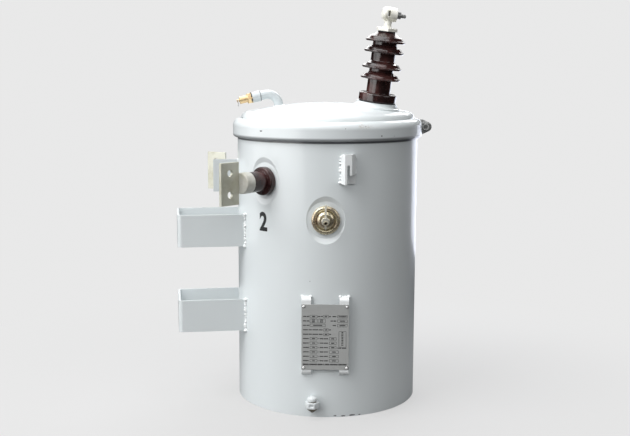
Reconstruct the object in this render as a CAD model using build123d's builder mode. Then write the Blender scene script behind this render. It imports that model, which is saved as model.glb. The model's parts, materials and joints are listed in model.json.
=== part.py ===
from build123d import *

import os
from math import asin, cos, degrees, radians, sin, sqrt

# Pole-mounted single-phase distribution transformer.
#
# Units are millimetres and degrees. +Z is up and the origin is the middle of the tank's underside.
# An azimuth is measured in plan from -Y towards +X, so the pole brackets, at -90, stand towards -X.
# A distance "from the axis" is measured from the tank's own vertical axis.

# ---------------------------------------------------------------------------------------------
# Driving dimensions
# ---------------------------------------------------------------------------------------------

# Clearances
seat_gap = 0.2          # round pieces that seat in or on each other
weld_gap = 0.2          # brackets and clips whose ends are shaped to the round tank wall
running_gap = 0.05      # radial play of the tap changer's spindle in its gland

# Tank
tank_radius = 200       # outside
wall_thickness = 3
wall_height = 604
bottom_thickness = 5
rim_sheet = 3           # flared rim that the cover is clamped on
rim_height = 15         # straight part of the rim's lip

# Clamp band, a split C-section that holds cover and rim together
band_stand = 10         # outer face, out from the tank wall
band_sheet = 2.5
band_lower_curl = 6
band_upper_curl = 16
band_azimuth = 85
band_opening = 10       # gap between the two ends of the band

# Lugs and draw bolt of the clamp band
band_lug_thickness = 4
band_lug_foot = 33      # height of a lug where it meets the band
band_lug_nose = 11      # radius of a lug's rounded nose
band_bolt_stand = 12    # bolt's centre line, out from the band's outer face
band_bolt_drop = 4      # bolt's centre line below the top of the band's flat face
band_bolt_radius = 5
band_bolt_hole_radius = 5.5
band_hex = 17           # across the flats of the bolt's head and nut
band_head_height = 6.5
band_head_chamfer = 0.8
band_nut_height = 8
band_washer_radius = 10.5
band_washer_thickness = 2
band_bolt_spare = 9     # thread that stands out of the nut

# Cover
cover_gasket = 3
cover_sheet = 3
cover_lip = 1           # straight part of the cover's rolled lip
cover_groove = 1        # gap between the band's upper edge and the cover's skirt
cover_skirt = 1         # straight part between the lip and the shoulder
shoulder_radius = 16
dome_radius = 800

# High-voltage bushing and its riser on the cover
hv_azimuth = 55
hv_inset = 81           # riser's centre, in from the tank wall
hv_tilt = 8             # outward lean from the vertical
riser_height = 10.5     # over the dome, at the riser's centre
riser_radius = 44
riser_flare = 7         # concave foot of the riser
riser_step = 2          # straight edge above that foot
hv_gasket_radius = 39
hv_gasket_thickness = 3
hv_collar_radius = 40.5
hv_collar_height = 17
hv_collar_round = 4
hv_core_radius = 26
hv_shed_radius = 42.5
hv_shed_tip = 2.6       # half the thickness of a shed's rim
hv_shed_rise = 14       # from a shed's rim up to its root
hv_shed_step_radius = 35  # step in a shed's upper side
hv_shed_step_rise = 8.8
hv_root_hollow = 0.9     # of the surface between that step and the core
hv_head_hollow = 0.4     # of the same surface on the top shed
hv_first_shed = 49      # rim height of the lowest shed
hv_shed_pitch = 22.9    # between the two sheds of a pair
hv_pair_pitch = 56.8    # between the two pairs
hv_height = 147.3       # whole porcelain over its gasket
hv_top_radius = 19
hv_shank_radius = 20
hv_shank_length = 45    # below the collar, through the cover
hv_stem_depth = 12      # terminal's spigot in the porcelain

# High-voltage terminal
hv_cap_gasket_radius = 18.5
hv_cap_gasket = 2.5
hv_cap_hex = 42         # across the flats
hv_cap_height = 7
hv_cap_chamfer = 1.2
hv_neck_radius = 8
hv_neck_flare = 5
hv_clamp_rise = 38.2    # clamp's centre line over the porcelain
hv_clamp_turn = 35      # clamp's centre line from the radial direction
hv_eye_radius = 15
hv_eye_back = 15.5      # eye's length behind the bushing's axis
hv_eye_lip = 2          # eye's front face beyond the neck
hv_eye_round = 9        # at the back of the eye
wire_slot_width = 7
wire_slot_height = 13
hv_washer_radius = 14.8
hv_washer_thickness = 6
hv_washer_round = 0.8
hv_nut_hex = 14
hv_nut_height = 9
hv_stud_radius = 4
hv_stud_spare = 11.5
hv_stud_chamfer = 0.6

# Pressed flats on the wall for the low-voltage bushings and the tap changer
flat_depth = 4.7        # face of a flat, in from the tank wall
flat_radius = 39
flat_rim_width = 11     # sloping rim round a flat

# Low-voltage bushings, one on each side of the pole brackets
bracket_azimuth = -90
lv_front_spread = 39.5
lv_rear_spread = 37
lv_drop = 106.5         # front one's centre line, below the top of the wall
lv_rear_lower = 5.5     # how much lower the rear one sits
lv_gasket_radius = 28
lv_gasket = 2
lv_flange_radius = 30
lv_flange_thickness = 12.5
lv_flange_round = 3
lv_body_radius = 21.5
lv_body_length = 36
lv_shank_radius = 17
lv_shank_length = 14
lv_ferrule_radius = 22
lv_ferrule_length = 22.5
lv_ferrule_chamfer = 1.5
spade_length = 49
spade_height = 88
spade_thickness = 6
spade_offset = 7.5      # from the ferrule's centre line, towards the brackets
spade_hole_radius = 7.15
spade_hole_pitch = 44.45
spade_hole_inset = 24.5  # hole line from the spade's inner edge

# Off-circuit tap changer
tap_azimuth = -9.7
tap_drop = 182.5        # its centre, below the top of the wall
tap_ring_radius = 29.5
tap_ring_height = 7
tap_bell_radius = 19.5
tap_bell_height = 11
tap_spindle_radius = 5
tap_spindle_length = 20  # inside the tank
tap_hub_radius = 8.5
tap_hub_length = 13
tap_hub_round = 1
tap_hub_gap = 0.4       # turning gap between hub and bell
tap_lever_thickness = 4
tap_lever_top = 33.5    # lever's tip over the spindle
tap_lever_lift = 12.5   # lever's underside over the flat
tap_lever_depth = 6
tap_tail = 16.5         # pointer's tip below the spindle
tap_pin_hole_radius = 1.7
tap_pin_hole_drop = 3.5

# Rating plate and the clips that carry it
plate_azimuth = -9.7
plate_width = 99
plate_height = 140
plate_thickness = 1
plate_bottom = 106
plate_stand = 6.5       # back of the plate, out from the tank wall
clip_width = 20
clip_sheet = 3
clip_bend = 9
clip_overlap = 14       # behind the plate
clip_show_top = 15      # above the plate
clip_show_bottom = 12   # below it

# Lifting lugs, one on each side: a bent hook over a pad plate
lug_azimuth = 2
lug_drop = 24           # top of a lug, below the clamp band
lug_height = 61.5
lug_standoff = 28
lug_left = 7.5          # hook's left front edge, from the lug's centre line
lug_left_splay = 10.5   # where the left side meets the wall
lug_right = 7           # hook's right front edge
lug_splay = 20          # where the right side meets the wall
lug_sheet = 4
lug_pad_sheet = 4
lug_corner = 7          # upper corners, seen from outside
lug_corner_clear = 1    # how far out of the sides their rounding starts
lug_slot_width = 6
lug_slot_height = 40
lug_short_leg = 19.5    # how much higher the right leg ends

# Pole brackets
bracket_stand = 136     # outer face of the closed end, out from the tank wall
bracket_width = 126
bracket_bar_height = 70
bracket_bar_thickness = 5
bracket_corner = 10     # outside of a bend
lower_bracket_bottom = 160
upper_bracket_drop = 186  # top of the upper bracket, below the top of the wall

# Side plate over the brackets
side_plate_stand = 55   # outer edge, out from the tank wall
side_plate_drop = 71    # top of the plate, below the top of the wall
side_plate_height = 71
side_plate_thickness = 6

# Vent pipe with its relief valve
vent_azimuth = -82
vent_inset = 88         # pipe's foot, in from the tank wall
vent_direction = -89
vent_pipe_radius = 10
vent_bore_radius = 7
vent_inside = 8         # pipe's end below the cover's outer face
vent_corner_rise = 31   # corner of the pipe's centre line over the dome
vent_bend = 24
vent_fall = 12.5        # downward slope of the outlet
vent_outlet = 60        # from that corner to the pipe's end
vent_sleeve_radius = 11.5
vent_sleeve_length = 17
valve_hex = 21
valve_hex_length = 11
valve_hex_chamfer = 1
valve_barrel_radius = 8
valve_barrel_length = 17
valve_spigot_length = 9
valve_stem_radius = 3
valve_stem_length = 6
pull_ring_radius = 6
pull_ring_wire = 0.8
pull_ring_hole_radius = 1.8

# Earthing boss near the bottom
earth_azimuth = -18
earth_height = 30
earth_stub_radius = 6
earth_stand = 15        # centre line of the connector, from the wall
earth_hex = 23
earth_hex_height = 14
earth_dome_radius = 10.5
earth_dome_height = 12
earth_dome_round = 8
earth_tip_radius = 8
earth_tip_end = 2       # radius of its lower end
earth_tip_height = 10

# ---------------------------------------------------------------------------------------------
# Places worked out from the driving dimensions
# ---------------------------------------------------------------------------------------------


def outward(azimuth):
    """Unit vector in plan that points away from the tank's axis."""
    return Vector(sin(radians(azimuth)), -cos(radians(azimuth)), 0)


def wall_plane(azimuth, distance, height):
    """Plane that faces outward; its X runs round the tank and its Y runs up."""
    return Plane(
        origin=outward(azimuth) * distance + Vector(0, 0, height),
        x_dir=outward(azimuth + 90),
        z_dir=outward(azimuth),
    )


def side_plane(plane):
    """Plane through another plane's axis, for half sections: X is across the axis, Y along it."""
    return Plane(origin=plane.origin, x_dir=plane.x_dir, z_dir=-plane.y_dir)


def axis_of(plane):
    """The axis that stands on a plane at its origin."""
    return Axis(plane.origin, plane.z_dir)


def dome_height(distance):
    """Height of the cover's outer face at a distance from the axis."""
    return dome_centre + sqrt(dome_radius**2 - distance**2)


inner_radius = tank_radius - wall_thickness
cover_seat = wall_height + cover_gasket
band_radius = tank_radius + band_stand
band_bolt_reach = band_radius + band_bolt_stand

rim_radius = band_radius - band_sheet - seat_gap
rim_round = band_lower_curl - band_sheet - seat_gap
rim_bottom = wall_height - rim_height - rim_round

band_face_bottom = wall_height - rim_height
band_face_top = cover_seat + cover_lip
band_bottom = band_face_bottom - band_lower_curl
band_top = band_face_top + band_upper_curl
band_curl_distance = band_radius - band_upper_curl

lip_round = band_upper_curl - band_sheet - seat_gap
lip_top = band_face_top + lip_round
skirt_radius = band_curl_distance - cover_groove
shoulder_distance = skirt_radius - shoulder_radius
shoulder_height = lip_top + cover_skirt
dome_centre = shoulder_height - sqrt((dome_radius - shoulder_radius) ** 2 - shoulder_distance**2)
shoulder_lean = degrees(asin(shoulder_distance / (dome_radius - shoulder_radius)))
crown_height = dome_centre + dome_radius

flat_distance = tank_radius - flat_depth
flat_rim_radius = flat_radius + flat_rim_width

hv_offset = tank_radius - hv_inset
hv_axis = outward(hv_azimuth) * sin(radians(hv_tilt)) + Vector(0, 0, cos(radians(hv_tilt)))
riser_top = Plane(
    origin=outward(hv_azimuth) * hv_offset + Vector(0, 0, dome_height(hv_offset) + riser_height),
    x_dir=outward(hv_azimuth) * cos(radians(hv_tilt)) - Vector(0, 0, sin(radians(hv_tilt))),
    z_dir=hv_axis,
)
hv_seat = riser_top.offset(hv_gasket_thickness)
hv_cap_seat = hv_seat.offset(hv_height + hv_cap_gasket)
hv_clamp = hv_seat.offset(hv_height + hv_clamp_rise).rotated((0, 0, hv_clamp_turn))
clamp_axis = Plane(origin=hv_clamp.origin, x_dir=hv_clamp.y_dir, z_dir=hv_clamp.x_dir)

lv_height = wall_height - lv_drop
lv_seat_distance = flat_distance + lv_gasket
lv_ferrule_distance = lv_seat_distance + lv_flange_thickness + lv_body_length
spade_distance = lv_ferrule_distance + lv_ferrule_length

tap_height = wall_height - tap_drop
plate_top = plate_bottom + plate_height
plate_distance = tank_radius + plate_stand
lug_bottom = band_bottom - lug_drop - lug_height
bracket_reach = tank_radius + bracket_stand
upper_bracket_bottom = wall_height - upper_bracket_drop - bracket_bar_height
side_plate_reach = tank_radius + side_plate_stand
side_plate_bottom = wall_height - side_plate_drop - side_plate_height
vent_offset = tank_radius - vent_inset

os.makedirs("parts", exist_ok=True)

# ---------------------------------------------------------------------------------------------
# Tank
# ---------------------------------------------------------------------------------------------

flats = {
    "lv_front": (bracket_azimuth + lv_front_spread, lv_height, lv_shank_radius),
    "lv_rear": (bracket_azimuth - lv_rear_spread, lv_height - lv_rear_lower, lv_shank_radius),
    "tap": (tap_azimuth, tap_height, tap_spindle_radius),
}

with BuildPart() as tank_wall:
    with BuildSketch(Plane.XY):
        Circle(tank_radius)
        Circle(inner_radius, mode=Mode.SUBTRACT)
    extrude(amount=wall_height)
    # Flared rim: a flange and a lip with a rounded lower corner
    with BuildSketch(Plane.XZ):
        with BuildLine():
            flange = Line((inner_radius, rim_bottom), (rim_radius - rim_round, rim_bottom))
            corner = TangentArc(
                flange @ 1, (rim_radius, rim_bottom + rim_round), tangent=(1, 0)
            )
            Polyline(
                corner @ 1,
                (rim_radius, wall_height),
                (rim_radius - rim_sheet, wall_height),
                (rim_radius - rim_sheet, rim_bottom + rim_sheet),
                (inner_radius, rim_bottom + rim_sheet),
                (inner_radius, rim_bottom),
            )
        make_face()
    revolve(axis=Axis.Z)
    # Sheet behind the pressed flats, kept inside the wall's outer face
    for azimuth, height, hole_radius in flats.values():
        flat = wall_plane(azimuth, flat_distance, height)
        with BuildSketch(side_plane(flat)):
            with BuildLine():
                Polyline(
                    (0, -wall_thickness),
                    (flat_radius, -wall_thickness),
                    (flat_rim_radius, flat_depth - wall_thickness),
                    (0, flat_depth - wall_thickness),
                    close=True,
                )
            make_face()
        revolve(axis=axis_of(flat))
    with BuildSketch(Plane.XY):
        Circle(2 * tank_radius)
        Circle(tank_radius, mode=Mode.SUBTRACT)
    extrude(amount=rim_bottom, mode=Mode.SUBTRACT)
    # Pressed flats, each with a sloping rim, and the hole through its middle
    for azimuth, height, hole_radius in flats.values():
        flat = wall_plane(azimuth, flat_distance, height)
        with BuildSketch(side_plane(flat)):
            with BuildLine():
                Polyline(
                    (0, 0),
                    (flat_radius, 0),
                    (flat_rim_radius, flat_depth),
                    (flat_rim_radius, 2 * flat_depth),
                    (0, 2 * flat_depth),
                    close=True,
                )
            make_face()
        revolve(axis=axis_of(flat), mode=Mode.SUBTRACT)
        with BuildSketch(flat):
            Circle(hole_radius + seat_gap)
        extrude(amount=-2 * wall_thickness, mode=Mode.SUBTRACT)
tank_wall.part.label = "tank_wall"
export_step(tank_wall.part, "parts/tank_wall.step")

with BuildPart() as tank_bottom:
    with BuildSketch(Plane.XY):
        Circle(inner_radius - seat_gap)
    extrude(amount=bottom_thickness)
tank_bottom.part.label = "tank_bottom"
export_step(tank_bottom.part, "parts/tank_bottom.step")

# ---------------------------------------------------------------------------------------------
# Cover, gasket and clamp band
# ---------------------------------------------------------------------------------------------

with BuildPart() as cover_seal:
    with BuildSketch(Plane.XY.offset(wall_height)):
        Circle(rim_radius)
        Circle(inner_radius, mode=Mode.SUBTRACT)
    extrude(amount=cover_gasket)
cover_seal.part.label = "cover_gasket"
export_step(cover_seal.part, "parts/cover_gasket.step")


def cover_outline(sheet):
    """Half section of the cover, drawn inward of its outer face by a sheet thickness."""
    curl = lip_round - sheet
    shoulder = shoulder_radius - sheet
    dome = dome_radius - sheet
    lean = radians(shoulder_lean)
    meeting = (dome * sin(lean), dome_centre + dome * cos(lean))
    lip = Line(
        (band_curl_distance + curl, cover_seat), (band_curl_distance + curl, band_face_top)
    )
    roll = TangentArc(lip @ 1, (band_curl_distance, band_face_top + curl), tangent=(0, 1))
    ledge = Polyline(
        roll @ 1,
        (skirt_radius - sheet, band_face_top + curl),
        (skirt_radius - sheet, shoulder_height),
    )
    middle = radians((90 + shoulder_lean) / 2)
    turn = ThreePointArc(
        ledge @ 1,
        (shoulder_distance + shoulder * sin(middle), shoulder_height + shoulder * cos(middle)),
        meeting,
    )
    crown = ThreePointArc(
        turn @ 1,
        (dome * sin(lean / 2), dome_centre + dome * cos(lean / 2)),
        (0, dome_centre + dome),
    )
    Polyline(crown @ 1, (0, cover_seat), lip @ 0)


with BuildPart() as tank_cover:
    with BuildSketch(Plane.XZ):
        with BuildLine():
            cover_outline(0)
        make_face()
    revolve(axis=Axis.Z)
    # Riser with a concave foot
    with BuildSketch(side_plane(riser_top)):
        with BuildLine():
            edge = Polyline((0, 0), (riser_radius, 0), (riser_radius, -riser_step))
            foot = ThreePointArc(
                edge @ 1,
                (
                    riser_radius + riser_flare * (1 - cos(radians(45))),
                    -riser_step - riser_flare * sin(radians(45)),
                ),
                (riser_radius + riser_flare, -riser_step - riser_flare),
            )
            Polyline(
                foot @ 1,
                (riser_radius + riser_flare, -riser_height - 2 * cover_sheet),
                (0, -riser_height - 2 * cover_sheet),
                (0, 0),
            )
        make_face()
    revolve(axis=axis_of(riser_top))
    # Hollow under the sheet
    with BuildSketch(Plane.XZ):
        with BuildLine():
            cover_outline(cover_sheet)
        make_face()
    revolve(axis=Axis.Z, mode=Mode.SUBTRACT)
    # Hollow of the riser, and the hole that the bushing's shank passes
    with BuildSketch(riser_top.offset(-cover_sheet)):
        Circle(riser_radius - cover_sheet)
    extrude(amount=-riser_height - 3 * cover_sheet, mode=Mode.SUBTRACT)
    with BuildSketch(riser_top):
        Circle(hv_shank_radius + seat_gap)
    extrude(amount=-2 * cover_sheet, mode=Mode.SUBTRACT)
    # Hole for the vent pipe
    with BuildSketch(Plane(outward(vent_azimuth) * vent_offset + Vector(0, 0, cover_seat))):
        Circle(vent_pipe_radius + seat_gap)
    extrude(amount=crown_height - cover_seat, mode=Mode.SUBTRACT)
tank_cover.part.label = "tank_cover"
export_step(tank_cover.part, "parts/tank_cover.step")

# The band's ends stop at a radial slot, and the lugs stand on either side of it
bolt_height = band_face_top - band_bolt_drop
lug_face = band_opening / 2

with BuildPart() as clamp_band:
    with BuildSketch(Plane.XZ):
        with BuildLine():
            lower = Line(
                (tank_radius + seat_gap, band_bottom), (band_radius - band_lower_curl, band_bottom)
            )
            lower_curl = TangentArc(lower @ 1, (band_radius, band_face_bottom), tangent=(1, 0))
            face = Line(lower_curl @ 1, (band_radius, band_face_top))
            upper_curl = TangentArc(face @ 1, (band_curl_distance, band_top), tangent=(0, 1))
            tip = Line(upper_curl @ 1, (band_curl_distance, band_top - band_sheet))
            inner_upper = RadiusArc(
                tip @ 1,
                (band_radius - band_sheet, band_face_top),
                band_upper_curl - band_sheet,
            )
            inner_face = Line(inner_upper @ 1, (band_radius - band_sheet, band_face_bottom))
            inner_lower = RadiusArc(
                inner_face @ 1,
                (band_radius - band_lower_curl, band_bottom + band_sheet),
                band_lower_curl - band_sheet,
            )
            Polyline(inner_lower @ 1, (tank_radius + seat_gap, band_bottom + band_sheet), lower @ 0)
        make_face()
    revolve(axis=Axis.Z)
    with BuildSketch(wall_plane(band_azimuth, 0, band_bottom)):
        Rectangle(band_opening, 3 * (band_top - band_bottom))
    extrude(amount=2 * band_radius, mode=Mode.SUBTRACT)
clamp_band.part.label = "clamp_band"
export_step(clamp_band.part, "parts/clamp_band.step")

# A plane whose normal runs along the draw bolt, towards the bolt's head
bolt_plane = Plane(
    origin=outward(band_azimuth) * band_bolt_reach + Vector(0, 0, bolt_height),
    x_dir=outward(band_azimuth),
    z_dir=-outward(band_azimuth + 90),
)

for side, start in (("front", lug_face), ("rear", -lug_face - band_lug_thickness)):
    with BuildPart() as band_lug:
        with BuildSketch(bolt_plane.offset(start)):
            Circle(band_lug_nose)
            with Locations((band_radius - band_bolt_reach, 0)):
                Rectangle(2 * band_sheet, band_lug_foot)
            make_hull()
            Circle(band_bolt_hole_radius, mode=Mode.SUBTRACT)
        extrude(amount=band_lug_thickness)
        # The foot is shaped to the band's outer face
        with BuildSketch(Plane.XY.offset(band_bottom - band_lug_foot)):
            Circle(band_radius + weld_gap)
        extrude(amount=3 * band_lug_foot + band_top - band_bottom, mode=Mode.SUBTRACT)
    band_lug.part.label = f"band_lug_{side}"
    export_step(band_lug.part, f"parts/band_lug_{side}.step")

lug_outside = lug_face + band_lug_thickness
with BuildPart() as band_bolt:
    with BuildSketch(bolt_plane.offset(lug_outside)):
        Circle(band_washer_radius)
    extrude(amount=band_washer_thickness)
    with BuildSketch(bolt_plane.offset(lug_outside + band_washer_thickness)):
        RegularPolygon(band_hex / 2, 6, major_radius=False)
    extrude(amount=band_head_height)
    chamfer(band_bolt.faces().sort_by(axis_of(bolt_plane))[-1].edges(), band_head_chamfer)
    with BuildSketch(bolt_plane.offset(lug_outside)):
        Circle(band_bolt_radius)
    extrude(amount=-2 * lug_outside - band_washer_thickness - band_nut_height - band_bolt_spare)
band_bolt.part.label = "band_bolt"
export_step(band_bolt.part, "parts/band_bolt.step")

with BuildPart() as band_nut:
    with BuildSketch(bolt_plane.offset(-lug_outside)):
        Circle(band_washer_radius)
    extrude(amount=-band_washer_thickness)
    with BuildSketch(bolt_plane.offset(-lug_outside - band_washer_thickness)):
        RegularPolygon(band_hex / 2, 6, major_radius=False)
    extrude(amount=-band_nut_height)
    with BuildSketch(bolt_plane.offset(-lug_outside)):
        Circle(band_bolt_radius + running_gap)
    extrude(amount=-band_washer_thickness - band_nut_height, mode=Mode.SUBTRACT)
band_nut.part.label = "band_nut"
export_step(band_nut.part, "parts/band_nut.step")

# ---------------------------------------------------------------------------------------------
# High-voltage bushing and terminal
# ---------------------------------------------------------------------------------------------

with BuildPart() as hv_gasket:
    with BuildSketch(riser_top):
        Circle(hv_gasket_radius)
        Circle(hv_shank_radius + seat_gap, mode=Mode.SUBTRACT)
    extrude(amount=hv_gasket_thickness)
hv_gasket.part.label = "hv_gasket"
export_step(hv_gasket.part, "parts/hv_gasket.step")

shed_rims = [
    hv_first_shed,
    hv_first_shed + hv_shed_pitch,
    hv_first_shed + hv_pair_pitch,
    hv_first_shed + hv_pair_pitch + hv_shed_pitch,
]
head_rise = hv_height - shed_rims[-1]


def shed_outline(root_radius, rise, hollow):
    """Half section of a shed over its rim's height: a round rim, a step and a hollow root."""
    under = Polyline((0, 0), (hv_core_radius, 0), (hv_shed_radius - hv_shed_tip, -hv_shed_tip))
    rim = ThreePointArc(
        under @ 1, (hv_shed_radius, 0), (hv_shed_radius - hv_shed_tip, hv_shed_tip)
    )
    slope = Line(rim @ 1, (hv_shed_step_radius, hv_shed_step_rise))
    root = ThreePointArc(
        slope @ 1,
        (
            (hv_shed_step_radius + root_radius) / 2 - hollow,
            (hv_shed_step_rise + rise) / 2 - hollow,
        ),
        (root_radius, rise),
    )
    Polyline(root @ 1, (0, rise), (0, 0))


with BuildPart() as hv_porcelain:
    # Collar with a rounded upper edge
    with BuildSketch(hv_seat):
        Circle(hv_collar_radius)
    extrude(amount=hv_collar_height)
    collar_top = hv_porcelain.faces().sort_by(axis_of(hv_seat))[-1]
    fillet(collar_top.edges(), hv_collar_round)
    with BuildSketch(hv_seat):
        Circle(hv_core_radius)
    extrude(amount=shed_rims[-1])
    with BuildSketch(hv_seat):
        Circle(hv_shank_radius)
    extrude(amount=-hv_shank_length)
    for rim_height_on_axis in shed_rims[:-1]:
        with BuildSketch(side_plane(hv_seat.offset(rim_height_on_axis))):
            with BuildLine():
                shed_outline(hv_core_radius, hv_shed_rise, hv_root_hollow)
            make_face()
        revolve(axis=axis_of(hv_seat))
    with BuildSketch(side_plane(hv_seat.offset(shed_rims[-1]))):
        with BuildLine():
            shed_outline(hv_top_radius, head_rise, hv_head_hollow)
        make_face()
    revolve(axis=axis_of(hv_seat))
    # Socket for the terminal's spigot
    with BuildSketch(hv_seat.offset(hv_height)):
        Circle(hv_neck_radius + seat_gap)
    extrude(amount=-hv_stem_depth - seat_gap, mode=Mode.SUBTRACT)
hv_porcelain.part.label = "hv_porcelain"
export_step(hv_porcelain.part, "parts/hv_porcelain.step")

with BuildPart() as hv_cap_seal:
    with BuildSketch(hv_seat.offset(hv_height)):
        Circle(hv_cap_gasket_radius)
        Circle(hv_neck_radius + seat_gap, mode=Mode.SUBTRACT)
    extrude(amount=hv_cap_gasket)
hv_cap_seal.part.label = "hv_cap_gasket"
export_step(hv_cap_seal.part, "parts/hv_cap_gasket.step")

with BuildPart() as hv_cap:
    with BuildSketch(hv_cap_seat):
        RegularPolygon(hv_cap_hex / 2, 6, major_radius=False)
    extrude(amount=hv_cap_height)
    chamfer(hv_cap.faces().sort_by(axis_of(hv_cap_seat))[-1].edges(), hv_cap_chamfer)
    with BuildSketch(hv_cap_seat):
        Circle(hv_neck_radius)
    extrude(amount=-hv_cap_gasket - hv_stem_depth)
hv_cap.part.label = "hv_cap"
export_step(hv_cap.part, "parts/hv_cap.step")

neck_base = hv_cap_seat.offset(hv_cap_height)
hv_eye_front = hv_neck_radius + hv_eye_lip
neck_height = hv_clamp_rise - hv_cap_gasket - hv_cap_height

with BuildPart() as hv_clamp_body:
    # Neck that flares towards the cap
    with BuildSketch(side_plane(neck_base)):
        with BuildLine():
            foot = Polyline((0, neck_height), (0, 0), (hv_neck_radius + hv_neck_flare, 0))
            flare = ThreePointArc(
                foot @ 1,
                (
                    hv_neck_radius + hv_neck_flare * (1 - sin(radians(45))),
                    hv_neck_flare * (1 - sin(radians(45))),
                ),
                (hv_neck_radius, hv_neck_flare),
            )
            Polyline(flare @ 1, (hv_neck_radius, neck_height), (0, neck_height))
        make_face()
    revolve(axis=axis_of(neck_base))
    # Eye, its rounded back and the slot that takes the line wire
    with BuildSketch(clamp_axis.offset(hv_eye_front)):
        Circle(hv_eye_radius)
    extrude(amount=-hv_eye_front - hv_eye_back)
    eye_back = hv_clamp_body.faces().sort_by(axis_of(clamp_axis))[0]
    fillet(eye_back.edges(), hv_eye_round)
    wire_plane = Plane(
        origin=clamp_axis.offset((hv_eye_front - hv_eye_back) / 2).origin,
        x_dir=clamp_axis.z_dir,
        z_dir=-clamp_axis.x_dir,
    )
    with BuildSketch(wire_plane):
        SlotOverall(wire_slot_height, wire_slot_width, rotation=90)
    extrude(amount=hv_eye_radius, both=True, mode=Mode.SUBTRACT)
    with BuildSketch(clamp_axis.offset(hv_eye_front)):
        Circle(hv_stud_radius + running_gap)
    extrude(amount=-hv_eye_front, mode=Mode.SUBTRACT)
hv_clamp_body.part.label = "hv_clamp_body"
export_step(hv_clamp_body.part, "parts/hv_clamp_body.step")

with BuildPart() as hv_clamp_washer:
    with BuildSketch(clamp_axis.offset(hv_eye_front)):
        Circle(hv_washer_radius)
        Circle(hv_stud_radius + running_gap, mode=Mode.SUBTRACT)
    extrude(amount=hv_washer_thickness)
    washer_rims = hv_clamp_washer.edges().filter_by(GeomType.CIRCLE).group_by(SortBy.RADIUS)[-1]
    fillet(washer_rims, hv_washer_round)
hv_clamp_washer.part.label = "hv_clamp_washer"
export_step(hv_clamp_washer.part, "parts/hv_clamp_washer.step")

clamp_nut_seat = clamp_axis.offset(hv_eye_front + hv_washer_thickness)
with BuildPart() as hv_clamp_nut:
    with BuildSketch(clamp_nut_seat):
        RegularPolygon(hv_nut_hex / 2, 6, major_radius=False)
        Circle(hv_stud_radius + running_gap, mode=Mode.SUBTRACT)
    extrude(amount=hv_nut_height)
hv_clamp_nut.part.label = "hv_clamp_nut"
export_step(hv_clamp_nut.part, "parts/hv_clamp_nut.step")

with BuildPart() as hv_clamp_stud:
    with BuildSketch(clamp_nut_seat.offset(hv_nut_height + hv_stud_spare)):
        Circle(hv_stud_radius)
    extrude(amount=-hv_stud_spare - hv_nut_height - hv_washer_thickness - hv_eye_front)
    stud_end = hv_clamp_stud.faces().sort_by(axis_of(clamp_axis))[-1]
    chamfer(stud_end.edges(), hv_stud_chamfer)
hv_clamp_stud.part.label = "hv_clamp_stud"
export_step(hv_clamp_stud.part, "parts/hv_clamp_stud.step")

# ---------------------------------------------------------------------------------------------
# Low-voltage bushings and their spade terminals
# ---------------------------------------------------------------------------------------------

for side, inward in (("front", -1), ("rear", 1)):
    azimuth, height = flats[f"lv_{side}"][:2]
    flat = wall_plane(azimuth, flat_distance, height)

    with BuildPart() as lv_gasket_ring:
        with BuildSketch(flat):
            Circle(lv_gasket_radius)
            Circle(lv_shank_radius + seat_gap, mode=Mode.SUBTRACT)
        extrude(amount=lv_gasket)
    lv_gasket_ring.part.label = f"lv_gasket_{side}"
    export_step(lv_gasket_ring.part, f"parts/lv_gasket_{side}.step")

    with BuildPart() as lv_porcelain:
        with BuildSketch(flat.offset(lv_gasket)):
            Circle(lv_flange_radius)
        extrude(amount=lv_flange_thickness)
        fillet(lv_porcelain.faces().sort_by(axis_of(flat))[-1].edges(), lv_flange_round)
        with BuildSketch(flat.offset(lv_gasket)):
            Circle(lv_body_radius)
        extrude(amount=lv_flange_thickness + lv_body_length)
        with BuildSketch(flat.offset(lv_gasket)):
            Circle(lv_shank_radius)
        extrude(amount=-lv_gasket - lv_shank_length)
    lv_porcelain.part.label = f"lv_porcelain_{side}"
    export_step(lv_porcelain.part, f"parts/lv_porcelain_{side}.step")

    ferrule_seat = wall_plane(azimuth, lv_ferrule_distance, height)
    with BuildPart() as lv_ferrule:
        with BuildSketch(ferrule_seat):
            Circle(lv_ferrule_radius)
        extrude(amount=lv_ferrule_length)
        chamfer(lv_ferrule.faces().sort_by(axis_of(flat))[-1].edges(), lv_ferrule_chamfer)
    lv_ferrule.part.label = f"lv_ferrule_{side}"
    export_step(lv_ferrule.part, f"parts/lv_ferrule_{side}.step")

    spade_plane = Plane(
        origin=wall_plane(azimuth, spade_distance, height).origin,
        x_dir=outward(azimuth),
        z_dir=outward(azimuth + 90) * inward,
    )
    with BuildPart() as lv_spade:
        with BuildSketch(spade_plane.offset(spade_offset)):
            Rectangle(spade_length, spade_height, align=(Align.MIN, Align.CENTER))
            with Locations((spade_hole_inset, 0)):
                with GridLocations(0, spade_hole_pitch, 1, 2):
                    Circle(spade_hole_radius, mode=Mode.SUBTRACT)
        extrude(amount=spade_thickness / 2, both=True)
    lv_spade.part.label = f"lv_spade_{side}"
    export_step(lv_spade.part, f"parts/lv_spade_{side}.step")

# ---------------------------------------------------------------------------------------------
# Off-circuit tap changer: a fixed ring and bell, and the handle that turns
# ---------------------------------------------------------------------------------------------

tap_plane = wall_plane(tap_azimuth, flat_distance, tap_height)

with BuildPart() as tap_ring:
    with BuildSketch(side_plane(tap_plane)):
        ring_bore = tap_bell_radius + seat_gap
        with BuildLine():
            back = Line((ring_bore, 0), (tap_ring_radius, 0))
            crown = ThreePointArc(
                back @ 1,
                ((ring_bore + 2 * tap_ring_radius) / 3, tap_ring_height),
                (ring_bore, tap_ring_height / 2),
            )
            Line(crown @ 1, back @ 0)
        make_face()
    revolve(axis=axis_of(tap_plane))
tap_ring.part.label = "tap_ring"
export_step(tap_ring.part, "parts/tap_ring.step")

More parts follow.
